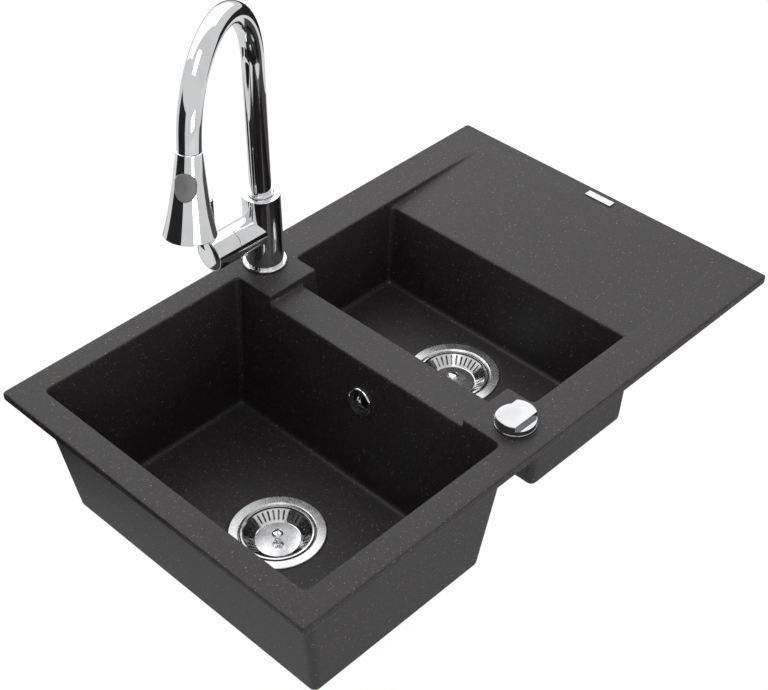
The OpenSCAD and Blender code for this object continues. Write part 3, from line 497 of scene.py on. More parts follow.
# %% Recipes
class Recipe(Net):
    """A Geometry Nodes tree whose sizes are inputs of the modifier that runs it."""

    def __init__(self, name, **sizes):
        super().__init__(bpy.data.node_groups.new(name, "GeometryNodeTree"))
        self.sizes = sizes
        self.socket("geometry", "INPUT", "NodeSocketGeometry")
        self.names = {}
        for key, value in sizes.items():
            kind = "NodeSocketInt" if isinstance(value, int) else "NodeSocketFloat"
            made = self.socket(key, "INPUT", kind)
            made.default_value = value
            self.names[key] = made.identifier
        self.socket("geometry", "OUTPUT", "NodeSocketGeometry")
        self.start = self.tree.nodes.new("NodeGroupInput")

    def socket(self, key, side, kind):
        return self.tree.interface.new_socket(key.title(), in_out=side, socket_type=kind)

    def given(self, key):
        return Flow(self, self.start.outputs[key.title()])

    def finish(self, geometry, material):
        real = self.node("GeometryNodeRealizeInstances", {"Geometry": geometry})
        done = self.node("GeometryNodeSetMaterial", {"Geometry": real, "Material": material})
        self.end_with("NodeGroupOutput", done)
        return self

    def run(self, piece):
        work = piece.modifiers.new("recipe", "NODES")
        work.node_group = self.tree
        for key, value in self.sizes.items():
            work[self.names[key]] = value
        piece.data.update()
        return bake(piece)


def around(name, one, count, material=chrome):
    """Copies of one piece, turned evenly round Z and welded."""
    recipe = Recipe(name, count=count, weld=0.00002)
    points = recipe.node("GeometryNodePoints", {"Count": recipe.given("count")})
    angle = recipe.node("GeometryNodeInputIndex")*TAU/recipe.given("count")
    copies = recipe.node("GeometryNodeInstanceOnPoints", {
        "Points": points, "Instance": recipe.given("geometry"),
        "Rotation": recipe.node("ShaderNodeCombineXYZ", {"Z": angle})})
    real = recipe.node("GeometryNodeRealizeInstances", {"Geometry": copies})
    welded = recipe.node("GeometryNodeMergeByDistance", {"Geometry": real, "Distance": recipe.given("weld")})
    return recipe.finish(welded, material).run(one)


def path(name, points):
    """A working object that is a line through points in metres."""
    mesh = bpy.data.meshes.new(name)
    mesh.from_pydata([tuple(p) for p in points], [(i, i + 1) for i in range(len(points) - 1)], [])
    return added(name, mesh)


def sweep(recipe, name, points, material, radius, scale=1.0, caps=False):
    """Ends a recipe that sweeps a circle along a line of points, and runs it."""
    curve = recipe.node("GeometryNodeMeshToCurve", {"Mesh": recipe.given("geometry")})
    ring = recipe.node("GeometryNodeCurvePrimitiveCircle", {"Resolution": recipe.given("sides"), "Radius": radius})
    swept = recipe.node("GeometryNodeCurveToMesh",
                        {"Curve": curve, "Profile Curve": ring, "Scale": scale, "Fill Caps": caps})
    return recipe.finish(swept, material).run(path(name, points))


def tube(name, points, material, radius, sides, caps=False):
    recipe = Recipe(name + "_sweep", radius=radius*MM, sides=sides)
    return sweep(recipe, name, points, material, recipe.given("radius"), caps=caps)


print("recipe helper ready")

# %% [markdown]
# ## The cast sink
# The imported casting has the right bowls, but cast composite has soft edges everywhere: about
# two millimetres at the rim and the lips. The mesh is welded, turned into an even skin by a
# fine voxel remesh and relaxed, so that all its edges round over together. Collapsing then
# spends the triangles on the rounded edges, because a flat face loses them at no cost.

# %% Cast sink
VOXEL, RELAX_SHARE, RELAX_STEPS = 0.0016, 0.5, 6
SINK_TRIANGLES = 180000


def welded_node(node):
    """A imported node's mesh with its doubled corners merged."""
    bm = bmesh.new()
    bm.from_mesh(frame["nodes"][node].data)
    bmesh.ops.remove_doubles(bm, verts=bm.verts, dist=WELD)
    return bm


def cast_sink():
    piece = loose("cast_sink", welded_node("sink_casting"))
    skin = piece.modifiers.new("skin", "REMESH")
    skin.mode, skin.voxel_size = "VOXEL", VOXEL
    relax = piece.modifiers.new("relax", "SMOOTH")
    relax.factor, relax.iterations = RELAX_SHARE, RELAX_STEPS
    bake(piece)
    print("skin", len(piece.data.polygons), "faces")
    thin = piece.modifiers.new("thin", "DECIMATE")
    thin.ratio = SINK_TRIANGLES/(2*len(piece.data.polygons))
    return bake(piece)


settle(cast_sink(), granite, "sink", "sink_casting", 60.0)

# %% [markdown]
# ## Places on the tap
# The tap turns about its own upright axis, and the spray head sits in a frame at the end of the
# arch. A few matrices hold those places, so each piece is drawn upright and then set in.

# %% Tap frames
TAP_X, TAP_Y, BOSS_Z = -17.5, 210.0, 63.0
ARCH_R, ARCH_Z, ARCH_REST, SPOUT_TURN, HEAD_TURN = 95.0, 286.0, 10.75, 208.4, 5.0
rest = radians(ARCH_REST)
TAP = at(TAP_X, TAP_Y, 0)
BOSS = TAP @ at(0, 0, BOSS_Z) @ turn(-90, "Y")
SPOUT = TAP @ turn(SPOUT_TURN, "Z")
LEG = SPOUT @ at(ARCH_R + ARCH_R*cos(rest), 0, ARCH_Z + ARCH_R*sin(rest)) @ turn(-ARCH_REST, "Y")
HEAD = LEG @ turn(HEAD_TURN, "Z")
print("spray head starts at", [round(v, 4) for v in LEG.translation])

# %% [markdown]
# ## Tap body
# The body is a turned brass casting, plated with chrome, with a side boss for the cartridge.
# Two cylinders are joined by a boolean. On a mirror the normals matter more than the shape,
# so every corner on a round face gets the exact normal of its own cylinder.

# %% Exact normals for mirror pieces
def exact_normals(piece, exact, sharp):
    """Corner normals from exact(point, face), or as shaded where that gives None."""
    mesh = piece.data
    mesh.shade_smooth()
    mesh.set_sharp_from_angle(angle=radians(sharp))
    normals = [Vector(c.vector) for c in mesh.corner_normals]
    for face in mesh.polygons:
        for corner in face.loop_indices:
            normal = exact(mesh.vertices[mesh.loops[corner].vertex_index].co, face)
            if normal is not None:
                normals[corner] = normal
    mesh.normals_split_custom_set([tuple(n) for n in normals])


def on_barrels(*barrels):
    """Exact normals of (origin, axis, radius) cylinders in metres; large flat faces keep their own."""
    near, same_side, many_sides, large = 0.00003, 0.95, 20, 0.0002

    def exact(point, face):
        for origin, axis, radius in barrels:
            away = point - origin
            away -= axis*away.dot(axis)
            if abs(away.length - radius) < near and away.normalized().dot(face.normal) > same_side:
                return away.normalized()
        if len(face.vertices) > many_sides or face.area > large:
            return face.normal.copy()
        return None
    return exact


# %% Tap body
BODY_R, BODY_BORE, BODY_FOOT, BODY_TOP = 23.3, 15.4, 14.0, 110.0
BOSS_R, BOSS_BORE, BOSS_END = 20.7, 17.4, 50.0
ALONG_BOSS = (BOSS.translation, Vector((-1, 0, 0)), BOSS_R*MM)


def carve(piece, *tools, operation="DIFFERENCE"):
    """Boolean with throwaway tools."""
    for tool in tools:
        cut = piece.modifiers.new("carve", "BOOLEAN")
        cut.operation, cut.solver, cut.object = operation, "EXACT", tool
        bake(piece)
        bpy.data.objects.remove(tool)
    return piece


body = lathe("tap_body_shell", [
    (BODY_BORE, BODY_FOOT), (BODY_R, BODY_FOOT), (BODY_R, BODY_TOP), (BODY_BORE, BODY_TOP),
    (BODY_BORE, 100), (13.4, 100), (13.4, 60), (BODY_BORE, 60)], 0.7, 192, TAP)
boss = lathe("boss", [
    (0, 8), (BOSS_R, 8), (BOSS_R, BOSS_END), (BOSS_BORE, BOSS_END), (BOSS_BORE, 44), (0, 44)], 0.35, 192, BOSS)
carve(body, boss, operation="UNION")
exact_normals(body, on_barrels((TAP.translation, Vector((0, 0, 1)), BODY_R*MM), ALONG_BOSS), 30)
stand_for(body, chrome, "sink", "tap_body")

# %% [markdown]
# ## Base ring and collar
# A plain ring spreads the tap's foot on the deck, and a low two-step collar hides the gap where
# the spout turns in the body.

# %% Rings round the tap
DECK_Z, SEAT_Z = 10.0, 10.8  # top of the rim, and of the gaskets on it
FOOT_RING = [(16.4, SEAT_Z), (27, SEAT_Z), (27, 12.6), (26, BODY_FOOT), (16.4, BODY_FOOT)]
COLLAR = [(13.12, 110.3), (15.5, 110.3), (15.5, 112.0), (14.7, 113), (13.12, 113)]
settle(lathe("tap_foot_ring", FOOT_RING, 0.5, 192, TAP), chrome, "sink", "tap_base_ring")
settle(lathe("spout_foot_collar", COLLAR, 0.3, 160, TAP), chrome, "spout", "spout_collar")

# %% [markdown]
# ## Spout
# The spout is one drawn tube: upright, round an arch and down a short leg. A line of points
# follows its middle, Geometry Nodes sweeps a circle along the line, and Solidify gives the
# tube its wall.

# %% Spout tube
SPOUT_R, SPOUT_WALL, SPOUT_FOOT, ARCH_STEPS = 13.08, 1.6, 83.0, 112


def spout_line():
    points = [(0, 0, z) for z in (SPOUT_FOOT, 120, 160, 200, 240, 270)]
    for k in range(ARCH_STEPS + 1):
        angle = pi - (pi - rest)*k/ARCH_STEPS
        points.append((ARCH_R + ARCH_R*cos(angle), 0, ARCH_Z + ARCH_R*sin(angle)))
    end, along = Vector(points[-1]), Vector((sin(rest), 0, -cos(rest)))
    points += [tuple(end + along*s) for s in (6, 11, 16)]
    return [SPOUT @ (Vector(p)*MM) for p in points]


@contextmanager
def editing(piece):
    """Opens a piece's mesh as a bmesh and writes it back."""
    bm = bmesh.new()
    bm.from_mesh(piece.data)
    yield bm
    bm.to_mesh(piece.data)
    bm.free()


def walled(piece, points, thickness):
    """Turns an open tube's faces away from its own middle line and gives it a wall on the inner side."""
    with editing(piece) as bm:
        bm.faces.ensure_lookup_table()
        middle = bm.faces[0].calc_center_median()
        nearest = min(points, key=lambda p: (p - middle).length)
        if bm.faces[0].normal.dot(middle - nearest) < 0:
            bmesh.ops.reverse_faces(bm, faces=bm.faces)
    wall = piece.modifiers.new("wall", "SOLIDIFY")
    wall.thickness, wall.offset, wall.use_even_offset = thickness*MM, -1, True
    bake(piece)
    with editing(piece) as bm:
        bmesh.ops.recalc_face_normals(bm, faces=bm.faces)
    return piece


line = spout_line()
spout = walled(tube("spout_arch_tube", line, chrome, SPOUT_R, 96), line, SPOUT_WALL)
settle(spout, chrome, "spout", "spout_tube", 50)

# %% [markdown]
# ## Spray head
# The head flares from the tube like a bell: straight at first, then curling out to its rim. The
# curve is one cubic, spun round the leg's axis. A shallow pocket in front takes the button.

# %% Spray head
HEAD_TOP, HEAD_L, HEAD_BORE, HEAD_WALL = -16.4, 93.5, 9.1, 3.0
NECK_R, SPREAD, CURL = 14.0, 10.064, 4.736


def flare(depth):
    """Radius of the head a given depth below its top, in millimetres."""
    t = depth/HEAD_L
    return NECK_R + SPREAD*t + CURL*t**3


def spray_head():
    rim_r, rim_z = flare(HEAD_L), HEAD_TOP - HEAD_L
    depths = [1.0] + [HEAD_L*k/44 for k in range(1, 44)]
    profile = [(HEAD_BORE, HEAD_TOP), (NECK_R - 0.7, HEAD_TOP), (NECK_R - 0.1, HEAD_TOP - 0.35)]
    profile += [(flare(d), HEAD_TOP - d) for d in depths]
    profile += [(rim_r - x, rim_z + z) for x, z in ((0.1, 0.9), (0.5, 0.25), (1.2, 0), (2.0, 0.3), (2.6, 1.2))]
    profile += [(flare(d) - HEAD_WALL, HEAD_TOP - d) for d in (86, 74, 62, 53)]
    return lathe("spray_head_bell", profile + [(HEAD_BORE, HEAD_TOP - 52)], 0, 192, HEAD)


bell = spray_head()
print("bell turned")

# %% [markdown]
# ## Button pocket and button
# The button is a soft pad that follows the head's flare and stands a little proud of it. It is
# a stadium in plan: rings of points shrink to its middle, each lifted to the flare, with a
# rounded edge and a shallow thumb dimple.

# %% Button pad
BUTTON_W, BUTTON_L, BUTTON_D = 23.0, 30.0, 33.3  # width, length and depth below the head's top
BUTTON_PROUD, BUTTON_ROUND, BUTTON_BACK = 1.15, 1.1, 5.0
BUTTON_Z = HEAD_TOP - BUTTON_D
POCKET_GAP, POCKET_BACK = 0.3, 6.8


def stadium(width, length, count=96):
    """Points (across, along) of a stadium outline, evenly placed."""
    r, half = width/2, (length - width)/2
    straight, total = 2*half, pi*width + 4*half
    made = []
    for k in range(count):
        s = total*k/count
        if s < pi*r:
            made.append((r*cos(s/r), half + r*sin(s/r)))
        elif s < pi*r + straight:
            made.append((-r, half - (s - pi*r)))
        elif s < TAU*r + straight:
            a = pi + (s - pi*r - straight)/r
            made.append((r*cos(a), -half + r*sin(a)))
        else:
            made.append((r, -half + (s - TAU*r - straight)))
    return made


def prism(outline, low, high, place=FLAT):
    """Bmesh of a closed prism over an outline of (x, y) millimetres, between two heights."""
    bm = bmesh.new()
    floor, roof = ([bm.verts.new((x*MM, y*MM, z*MM)) for x, y in outline] for z in (low, high))
    bm.faces.new(floor[::-1])
    bm.faces.new(roof)
    for k in range(len(outline)):
        m = (k + 1) % len(outline)
        bm.faces.new((floor[k], floor[m], roof[m], roof[k]))
    bmesh.ops.recalc_face_normals(bm, faces=bm.faces)
    bm.transform(place)
    return bm


def button_radius(share, y, z):
    """Radius of the pad at a point (y across, z along), on the ring at a share of its outline."""
    inset = min((1 - share)*BUTTON_W/2, BUTTON_ROUND)
    drop = BUTTON_ROUND - sqrt(BUTTON_ROUND**2 - (BUTTON_ROUND - inset)**2)
    dimple = 1.1*max(0.0, 1 - hypot((y + 2.4)/6.2, (z + 0.8)/10)**2)**1.4
    return flare(BUTTON_D - z) + BUTTON_PROUD - drop - dimple


def button_pad():
    edge, rings = stadium(BUTTON_W, BUTTON_L), []
    bm = bmesh.new()
    for share in [k/14 for k in range(1, 13)] + [0.885, 0.91, 0.93, 0.95, 0.965, 0.98, 0.99, 1.0]:
        ring = [(across*share, along*share) for across, along in edge]
        rings.append([bm.verts.new((
            sqrt(button_radius(share, y, z)**2 - y**2)*MM, y*MM, (BUTTON_Z + z)*MM)) for y, z in ring])
    inner = (flare(BUTTON_D) - BUTTON_BACK)*MM
    rings.append([bm.verts.new((inner, v.co.y, v.co.z)) for v in rings[-1]])
    middle = bm.verts.new((button_radius(0, 0, 0)*MM, 0, BUTTON_Z*MM))
    for k in range(len(edge)):
        m = (k + 1) % len(edge)
        bm.faces.new((middle, rings[0][k], rings[0][m]))
        for one, two in zip(rings, rings[1:]):
            bm.faces.new((one[k], two[k], two[m], one[m]))
    bm.faces.new(rings[-1])
    bmesh.ops.recalc_face_normals(bm, faces=bm.faces)
    bm.transform(HEAD)
    return loose("spray_button_pad", bm)


INTO_BUTTON = HEAD @ at(0, 0, BUTTON_Z) @ Matrix(((0, 0, 1, 0), (1, 0, 0, 0), (0, 1, 0, 0), (0, 0, 0, 1)))
pocket = stadium(BUTTON_W + 2*POCKET_GAP, BUTTON_L + 2*POCKET_GAP)
carve(bell, loose("pocket", prism(pocket, flare(BUTTON_D) - POCKET_BACK, 40, INTO_BUTTON)))
FROM_HEAD, HEAD_AXES = HEAD.inverted(), HEAD.to_3x3()


def on_flare(point, face):
    """The bell is a mirror, so its outer face gets the exact normals of its curve."""
    local = FROM_HEAD @ point/MM
    depth, away = HEAD_TOP - local.z, hypot(local.x, local.y)
    if 0.9 < depth < HEAD_L - 0.5 and abs(away - flare(depth)) < 0.02:
        lean = (SPREAD + 3*CURL*(depth/HEAD_L)**2)/HEAD_L
        normal = (HEAD_AXES @ Vector((local.x/away, local.y/away, lean))).normalized()
        if normal.dot(face.normal) > 0.9:
            return normal
    return None


exact_normals(bell, on_flare, 32)
stand_for(bell, chrome, "spray_head", "spray_head_shell")
settle(button_pad(), grey_plastic, "spray_mode_button", "spray_button", 30)

# %% [markdown]
# ## Spray face
# Under the rim sit a rubber face with a ring of small nozzles and an aerator with six holes.
# One nozzle is drawn, and a recipe repeats it round the axis.

# %% Spray face and inner pieces of the head
IN_FACE = HEAD @ at(0, 0, HEAD_TOP - HEAD_L + 2)
FACE_R = flare(HEAD_L - 2) - 3.4
NOZZLES, NOZZLE_AT, NOZZLE_BORE = 18, 18.0, 0.75
AERATOR_R, AERATOR_HOLES = 8.98, 6


def band(near, far, low, high):
    """A rectangle: the profile of a plain ring, of a cylinder when near is 0, or an outline for a prism."""
    return [(near, low), (far, low), (far, high), (near, high)]


def with_parts(piece, *parts):
    """Adds the closed shells of bmeshes to a piece."""
    with editing(piece) as bm:
        for part in parts:
            mesh = bpy.data.meshes.new("part")
            part.to_mesh(mesh)
            part.free()
            bm.from_mesh(mesh)
            bpy.data.meshes.remove(mesh)
    return piece


def lifted(piece, place):
    """The placed bmesh of a working object, which goes away."""
    bm = bmesh.new()
    bm.from_mesh(piece.data)
    bmesh.ops.recalc_face_normals(bm, faces=bm.faces)
    bm.transform(place)
    bpy.data.objects.remove(piece)
    return bm


def round_plate(name, profile, radius, hole_at, hole_r, count, steps):
    """Turned plate with a ring of round holes."""
    plate = lathe(name, profile, radius, steps)
    low, high = min(z for r, z in profile) - 1, max(z for r, z in profile) + 1
    hole = lathe("hole", band(0, hole_r, low, high), 0, 16, at(hole_at, 0, 0))
    carve(plate, around(name + "_holes", hole, count))
    plate.data.transform(IN_FACE)
    return plate


face = round_plate("spray_face_rubber", [(9.05, 0), (FACE_R, 0), (FACE_R - 0.8, 5), (9.05, 5)],
                   0.4, NOZZLE_AT, NOZZLE_BORE, NOZZLES, 128)
nozzle = [(NOZZLE_BORE, 0.2), (1.9, 0.2), (1.3, -1.1), (NOZZLE_BORE, -1.1)]
nozzle = lathe("nozzle", nozzle, 0.15, 20, at(NOZZLE_AT, 0, 0))
with_parts(face, lifted(around("spray_nozzles", nozzle, NOZZLES, rubber), IN_FACE))
settle(face, rubber, "spray_head", "spray_face")
aerator = [(0, -0.5), (7.4, -0.5), (7.8, 0.1), (AERATOR_R, 0.1), (AERATOR_R, 7.5), (0, 7.5)]
settle(round_plate("aerator_grille", aerator, 0.25, 5, 1.2, AERATOR_HOLES, 96), steel, "spray_head", "spray_aerator")
CONNECTOR = [(5, -22.4), (8.98, -22.4), (8.98, -17), (8.2, -16.4), (8.2, -14.9), (8.98, -14.3), (8.98, -8.2), (8, -7),
             (5, -7)]
DOCKING = [(9.35, -16), (11.45, -16), (11.45, -6), (10, -6), (9.35, -7.5)]
settle(lathe("hose_connector", CONNECTOR, 0.35, 96, HEAD), brass, "spray_head", "spray_hose_connector")
settle(lathe("docking_ring", DOCKING, 0.3, 96, LEG), black_plastic, "spout", "spout_docking_ring")

# %% [markdown]
# ## Handle
# The handle is a barrel in line with the boss, with a thin lever standing on it. Its lower
# corner next to the boss is cut on a slant, so that it can tip. A domed cap closes its end.

# %% Handle
BARREL_X0, BARREL_X1, LEVER_X, SCREW_X = 50.5, 84.0, 75.0, 64.5  # along the boss, from the tap's axis
BARREL_BORE, CAP_SEAT, TIP_ANGLE = BOSS_R - 2.6, BOSS_R - 1.4, 16.0
CAP_R, CAP_X0, CAP_X1, DOME_H = BOSS_R - 1.42, 81.5, 85.5, 1.8
LEVER_R, LEVER_TOP = 3.0, 76.0
UP_LEVER, UP_SCREW = (TAP @ at(-x, 0, BOSS_Z) for x in (LEVER_X, SCREW_X))


def handle_barrel():
    barrel = lathe("handle_barrel_shell", [
        (0, 59.5), (BARREL_BORE, 59.5), (BARREL_BORE, BARREL_X0), (BOSS_R, BARREL_X0), (BOSS_R, BARREL_X1),
        (CAP_SEAT, BARREL_X1), (CAP_SEAT, CAP_X0), (0, CAP_X0)], 0.4, 192, BOSS)
    slant, low = BOSS_R*tan(radians(TIP_ANGLE)), -BOSS_R - 5
    wedge = [(1, 0), (0, 0), (-slant, -BOSS_R), (-slant - 1, low), (1, low)]
    carve(barrel,
          loose("wedge", prism(wedge, -30, 30, TAP @ at(-BARREL_X0, 0, BOSS_Z) @ turn(90, "X"))),
          lathe("lever_hole", band(0, LEVER_R + 0.05, 9, 30), 0, 48, UP_LEVER),
          lathe("screw_hole", band(0, 2.55, -30, -4), 0, 40, UP_SCREW))
    exact_normals(barrel, on_barrels(ALONG_BOSS), 30)
    return barrel


stand_for(handle_barrel(), chrome, "handle", "handle_barrel")
dome = [(CAP_R*cos(radians(7.5*k)), CAP_X1 - DOME_H + DOME_H*sin(radians(7.5*k))) for k in range(12)]
settle(lathe("handle_end_cap", [(0, CAP_X0), (CAP_R, CAP_X0)] + dome + [(0, CAP_X1)], 0, 160, BOSS),
       chrome, "handle", "handle_cap", 30)
tip = [(LEVER_R*cos(radians(a)), LEVER_TOP - LEVER_R + LEVER_R*sin(radians(a))) for a in range(0, 90, 9)]
settle(lathe("handle_lever_rod", [(0, 9), (LEVER_R, 9)] + tip + [(0, LEVER_TOP)], 0, 64, UP_LEVER),
       chrome, "handle", "handle_lever", 40)
grub = lathe("handle_set_screw", band(0, 2.45, -18.7, -4), 0.3, 40, UP_SCREW)
hexagon = [(1.3*cos(TAU*k/6), 1.3*sin(TAU*k/6)) for k in range(6)]
carve(grub, loose("key", prism(hexagon, -25, -15.7, UP_SCREW)))
settle(grub, steel, "handle", "handle_grub_screw")

# %% [markdown]
# ## Wastes
# Each waste has a satin flange pressed into the bowl's floor, a bright basket with a ring of
# slots, a rubber seal and a mushroom knob. The basket is a lathe piece. One rounded slot
# cutter is drawn, and the recipe turns it into the full ring before one boolean cuts them all.

# %% Wastes
MAIN, HALF = at(-200.5, 2, -171), at(92, -1, -111)
THROAT_Z, HUB_ARMS = -50.0, 3
SLOTS, SLOT_W, SLOT_L, SLOT_AT = 36, 2.2, 9.4, 33.6


def waste_flange(name):
    """Flange, cup, throat and the three-armed hub that takes the long screw."""
    ring = lathe(name, [
        (57, -0.7), (57, 0.1), (56.2, 0.75), (46.2, 0.78), (45.2, 0.4), (43.6, -0.9), (43.6, -8), (36, -17),
        (31.5, -17), (31.5, THROAT_Z), (32.7, THROAT_Z), (32.7, -18.2), (37.2, -18.2), (44.8, -8.6), (44.8, -0.7)],
        0.3, 160)
    hub = lathe("hub", band(5.1, 9, THROAT_Z, THROAT_Z + 6), 0.3, 64)
    arm = loose("arm", prism(band(8, 32, -2.5, 2.5), THROAT_Z, THROAT_Z + 5))
    return carve(ring, hub, around(name + "_arms", arm, HUB_ARMS), operation="UNION")


def strainer_basket(name):
    """Basket with a ring of rounded slots through its sloping wall."""
    bowl = lathe(name, [
        (0, -38), (2.5, -38), (3, -37.5), (3, -16), (24, -16), (24, -12.9), (27.6, -12.9), (40.6, -2.4), (41.2, -0.6),
        (42.8, -0.6), (42.8, 0.2), (42.5, 0.4), (40.6, 0.4), (39.4, -1.5), (27.4, -11.55), (26.6, -11.8), (0, -11.8)],
        0.35, 180)
    outline = [(x + SLOT_AT, y) for y, x in stadium(SLOT_W, SLOT_L, 20)]
    return carve(bowl, around("basket_slots", loose("slot", prism(outline, -15, 1, turn(180/SLOTS, "Z"))), SLOTS))


MUSHROOM = [(0, -14.8), (1.96, -14.8), (1.96, -11.78), (4, -11.78), (3.1, -11.2), (2.5, -10.2), (2.4, -6), (2.9, -5),
            (6, -4.2), (6.75, -3), (6.4, -1.4), (5, -0.3), (2.8, 0.2), (0, 0.3)]
SEAL = [(24.02, -17), (34, -17), (34, -15.6), (31.8, -13.4), (30.6, -12.9), (24.02, -12.9)]
for side, place in (("main", MAIN), ("half", HALF)):
    riser = side + "_basket"
    flange, basket = waste_flange(side + "_waste_ring"), strainer_basket(side + "_basket_strainer")
    for piece in (flange, basket):
        piece.data.transform(place)
    settle(flange, steel, "sink", side + "_waste_flange", 30)
    settle(basket, pressed, riser, side + "_strainer_basket", 30)
    settle(lathe(side + "_basket_mushroom", MUSHROOM, 0.5, 96, place), chrome, riser, side + "_basket_knob", 40)
    settle(lathe(side + "_basket_seal", SEAL, 0.4, 128, place), rubber, riser, side + "_plug_seal")

# %% [markdown]
# ## Overflow
# The overflow cover is a small dished disc on the bowl's leaning wall, with three openings
# between three spokes and a slotted screw in the middle.

# %% Overflow cover
WALL_LEAN, WINDOWS = 5.524, 3
OVERFLOW = at(-67.19, -1, -54) @ turn(WALL_LEAN - 90, "Y")


def arc(radius, start, end, steps):
    """Points of an arc between two angles in degrees."""
    angles = [radians(start + (end - start)*k/steps) for k in range(steps + 1)]
    return [(radius*cos(a), radius*sin(a)) for a in angles]


cover = lathe("overflow_disc", [
    (2.6, 0), (18, 0), (18, 1.3), (17.6, 2.1), (17, 2.6), (16.4, 2.6), (14.6, 1.9), (12, 1.5), (7, 1.5), (5.4, 3),
    (2.6, 3)], 0.2, 144)
window = loose("window", prism(arc(15, 12, 108, 24) + arc(5.5, 93, 27, 10), -2, 5))
carve(cover, around("overflow_windows", window, WINDOWS))
cover.data.transform(OVERFLOW)
settle(cover, chrome, "sink", "overflow_cover", 30)
screw = lathe("overflow_cover_screw", [
    (0, -20), (2.5, -20), (2.5, 3), (4.2, 3), (4.2, 3.6), (3.2, 4.35), (1.6, 4.58), (0, 4.6)], 0.2, 64)
carve(screw, loose("slot", prism(band(-6, 6, -0.5, 0.5), 3.8, 6)))
screw.data.transform(OVERFLOW)
settle(screw, steel, "sink", "overflow_screw", 30)

# %% [markdown]
# ## Pop-up knob and badge plate
# The pop-up knob is a turned cap with two flats milled away, which leaves a grip bar. The badge
# plate is a bare strip of bright metal with soft corners.

# %% Knob and plate
KNOB_X, KNOB_Y = -25, -195
KNOB = at(KNOB_X, KNOB_Y, 0)
CAP_Z, LEDGE_Z, CAP_TOP, GRIP_HALF = 12.7, 18.0, 24.0, 14.0
BADGE_X, BADGE_Y, BADGE_W, BADGE_L, BADGE_H = 360.3, -18.0, 10.6, 40.0, 1.5


def bevel(piece, width, segments, angle):
    edge = piece.modifiers.new("bevel", "BEVEL")
    edge.width, edge.segments = width*MM, segments
    edge.limit_method, edge.angle_limit = "ANGLE", radians(angle)
    edge.miter_outer = "MITER_ARC"
    return bake(piece)


def popup_cap():
    cap = lathe("popup_knob_grip", [
        (0, 19), (6.02, 19), (6.02, 14.6), (19.6, 14.6), (19.6, CAP_Z), (22.8, CAP_Z), (22.8, 23.4), (22.3, CAP_TOP),
        (0, CAP_TOP)], 0.3, 192, KNOB)
    for side in (1, -1):
        carve(cap, loose("flat", prism(band(-30, 30, side*GRIP_HALF, side*40), LEDGE_Z, 30, KNOB)))
    with editing(cap) as bm:
        bmesh.ops.dissolve_limit(bm, angle_limit=radians(0.3), verts=bm.verts, edges=bm.edges)
    return bevel(cap, 0.35, 3, 50)


settle(popup_cap(), soft_chrome, "popup_knob", "popup_knob_cap", 30)
KNOB_RING = [(16.62, SEAT_Z), (23.4, SEAT_Z), (23.4, 11.8), (22.8, 12.4), (16.62, 12.4)]
KNOB_WASHER = band(16.82, 22.2, DECK_Z, SEAT_Z)
settle(lathe("popup_knob_ring", KNOB_RING, 0.25, 160, KNOB), soft_chrome, "sink", "popup_knob_base", 30)
settle(lathe("popup_knob_washer", KNOB_WASHER, 0.2, 128, KNOB), rubber, "sink", "popup_knob_gasket")
settle(lathe("tap_foot_washer", band(17.6, 26, DECK_Z, SEAT_Z), 0.2, 160, TAP), rubber, "sink", "tap_base_gasket")
plate = prism(band(BADGE_X, BADGE_X + BADGE_W, BADGE_Y, BADGE_Y + BADGE_L), DECK_Z, DECK_Z + BADGE_H)
settle(bevel(loose("badge_strip", plate), 0.45, 4, 30), soft_chrome, "sink", "badge_plate", 30)

# %% [markdown]
# ## Under the sink: hose and cable
# The overflow hose is ribbed. Geometry Nodes sweeps a ring along its path and lets the radius
# rise and fall with the length, one rib every four millimetres. The pull cable is a plain
# round sheath along its own points.

# %% Overflow hose
HOSE_X, HOSE_Y, HOSE_TOP = -42.19, -1.0, -92.0
HOSE_DOWN, HOSE_BEND, HOSE_FLAT = 68.0, 56.0, 36.31
VALLEY_R, CREST_R, RIB_PITCH, HOSE_WALL = 11.2, 12.5, 4.0, 1.2
CUFF_BORE, CUFF_L, CUFF_LAP = 10.2, 16.0, 2.0


def facing(direction, x, y, z):
    """Place whose Z axis runs along a level direction."""
    ahead = Vector(direction)
    side = Vector((0, 0, 1)).cross(ahead)
    return Matrix.Translation(Vector((x, y, z))*MM) @ Matrix((side, ahead.cross(side), ahead)).transposed().to_4x4()


def hose_line(step=0.4):
    """Straight down, a quarter bend, then level."""
    quarter, bend_z = pi/2*HOSE_BEND, HOSE_TOP - HOSE_DOWN
    total, points = HOSE_DOWN + quarter + HOSE_FLAT, []
    count = int(total/step)
    for k in range(count + 1):
        s = min(total, total*k/count)
        a = min(max(s - HOSE_DOWN, 0)/HOSE_BEND, pi/2)
        level = max(s - HOSE_DOWN - quarter, 0)
        points.append((HOSE_X - HOSE_BEND*(1 - cos(a)) - level, HOSE_Y, max(HOSE_TOP - s, bend_z) - HOSE_BEND*sin(a)))
    return [Vector(p)*MM for p in points]


def ribbed(name, points):
    recipe = Recipe("ribbed_hose", valley=VALLEY_R*MM, crest=CREST_R*MM, pitch=RIB_PITCH*MM, sides=48)
    length = recipe.node("GeometryNodeSplineParameter", output="Length")
    wave = length.math("SINE", length/recipe.given("pitch")*TAU)
    radius = wave.above(-0.7, 0.7, recipe.given("valley"), recipe.given("crest"))
    return sweep(recipe, name, points, hose_plastic, 1.0, radius)


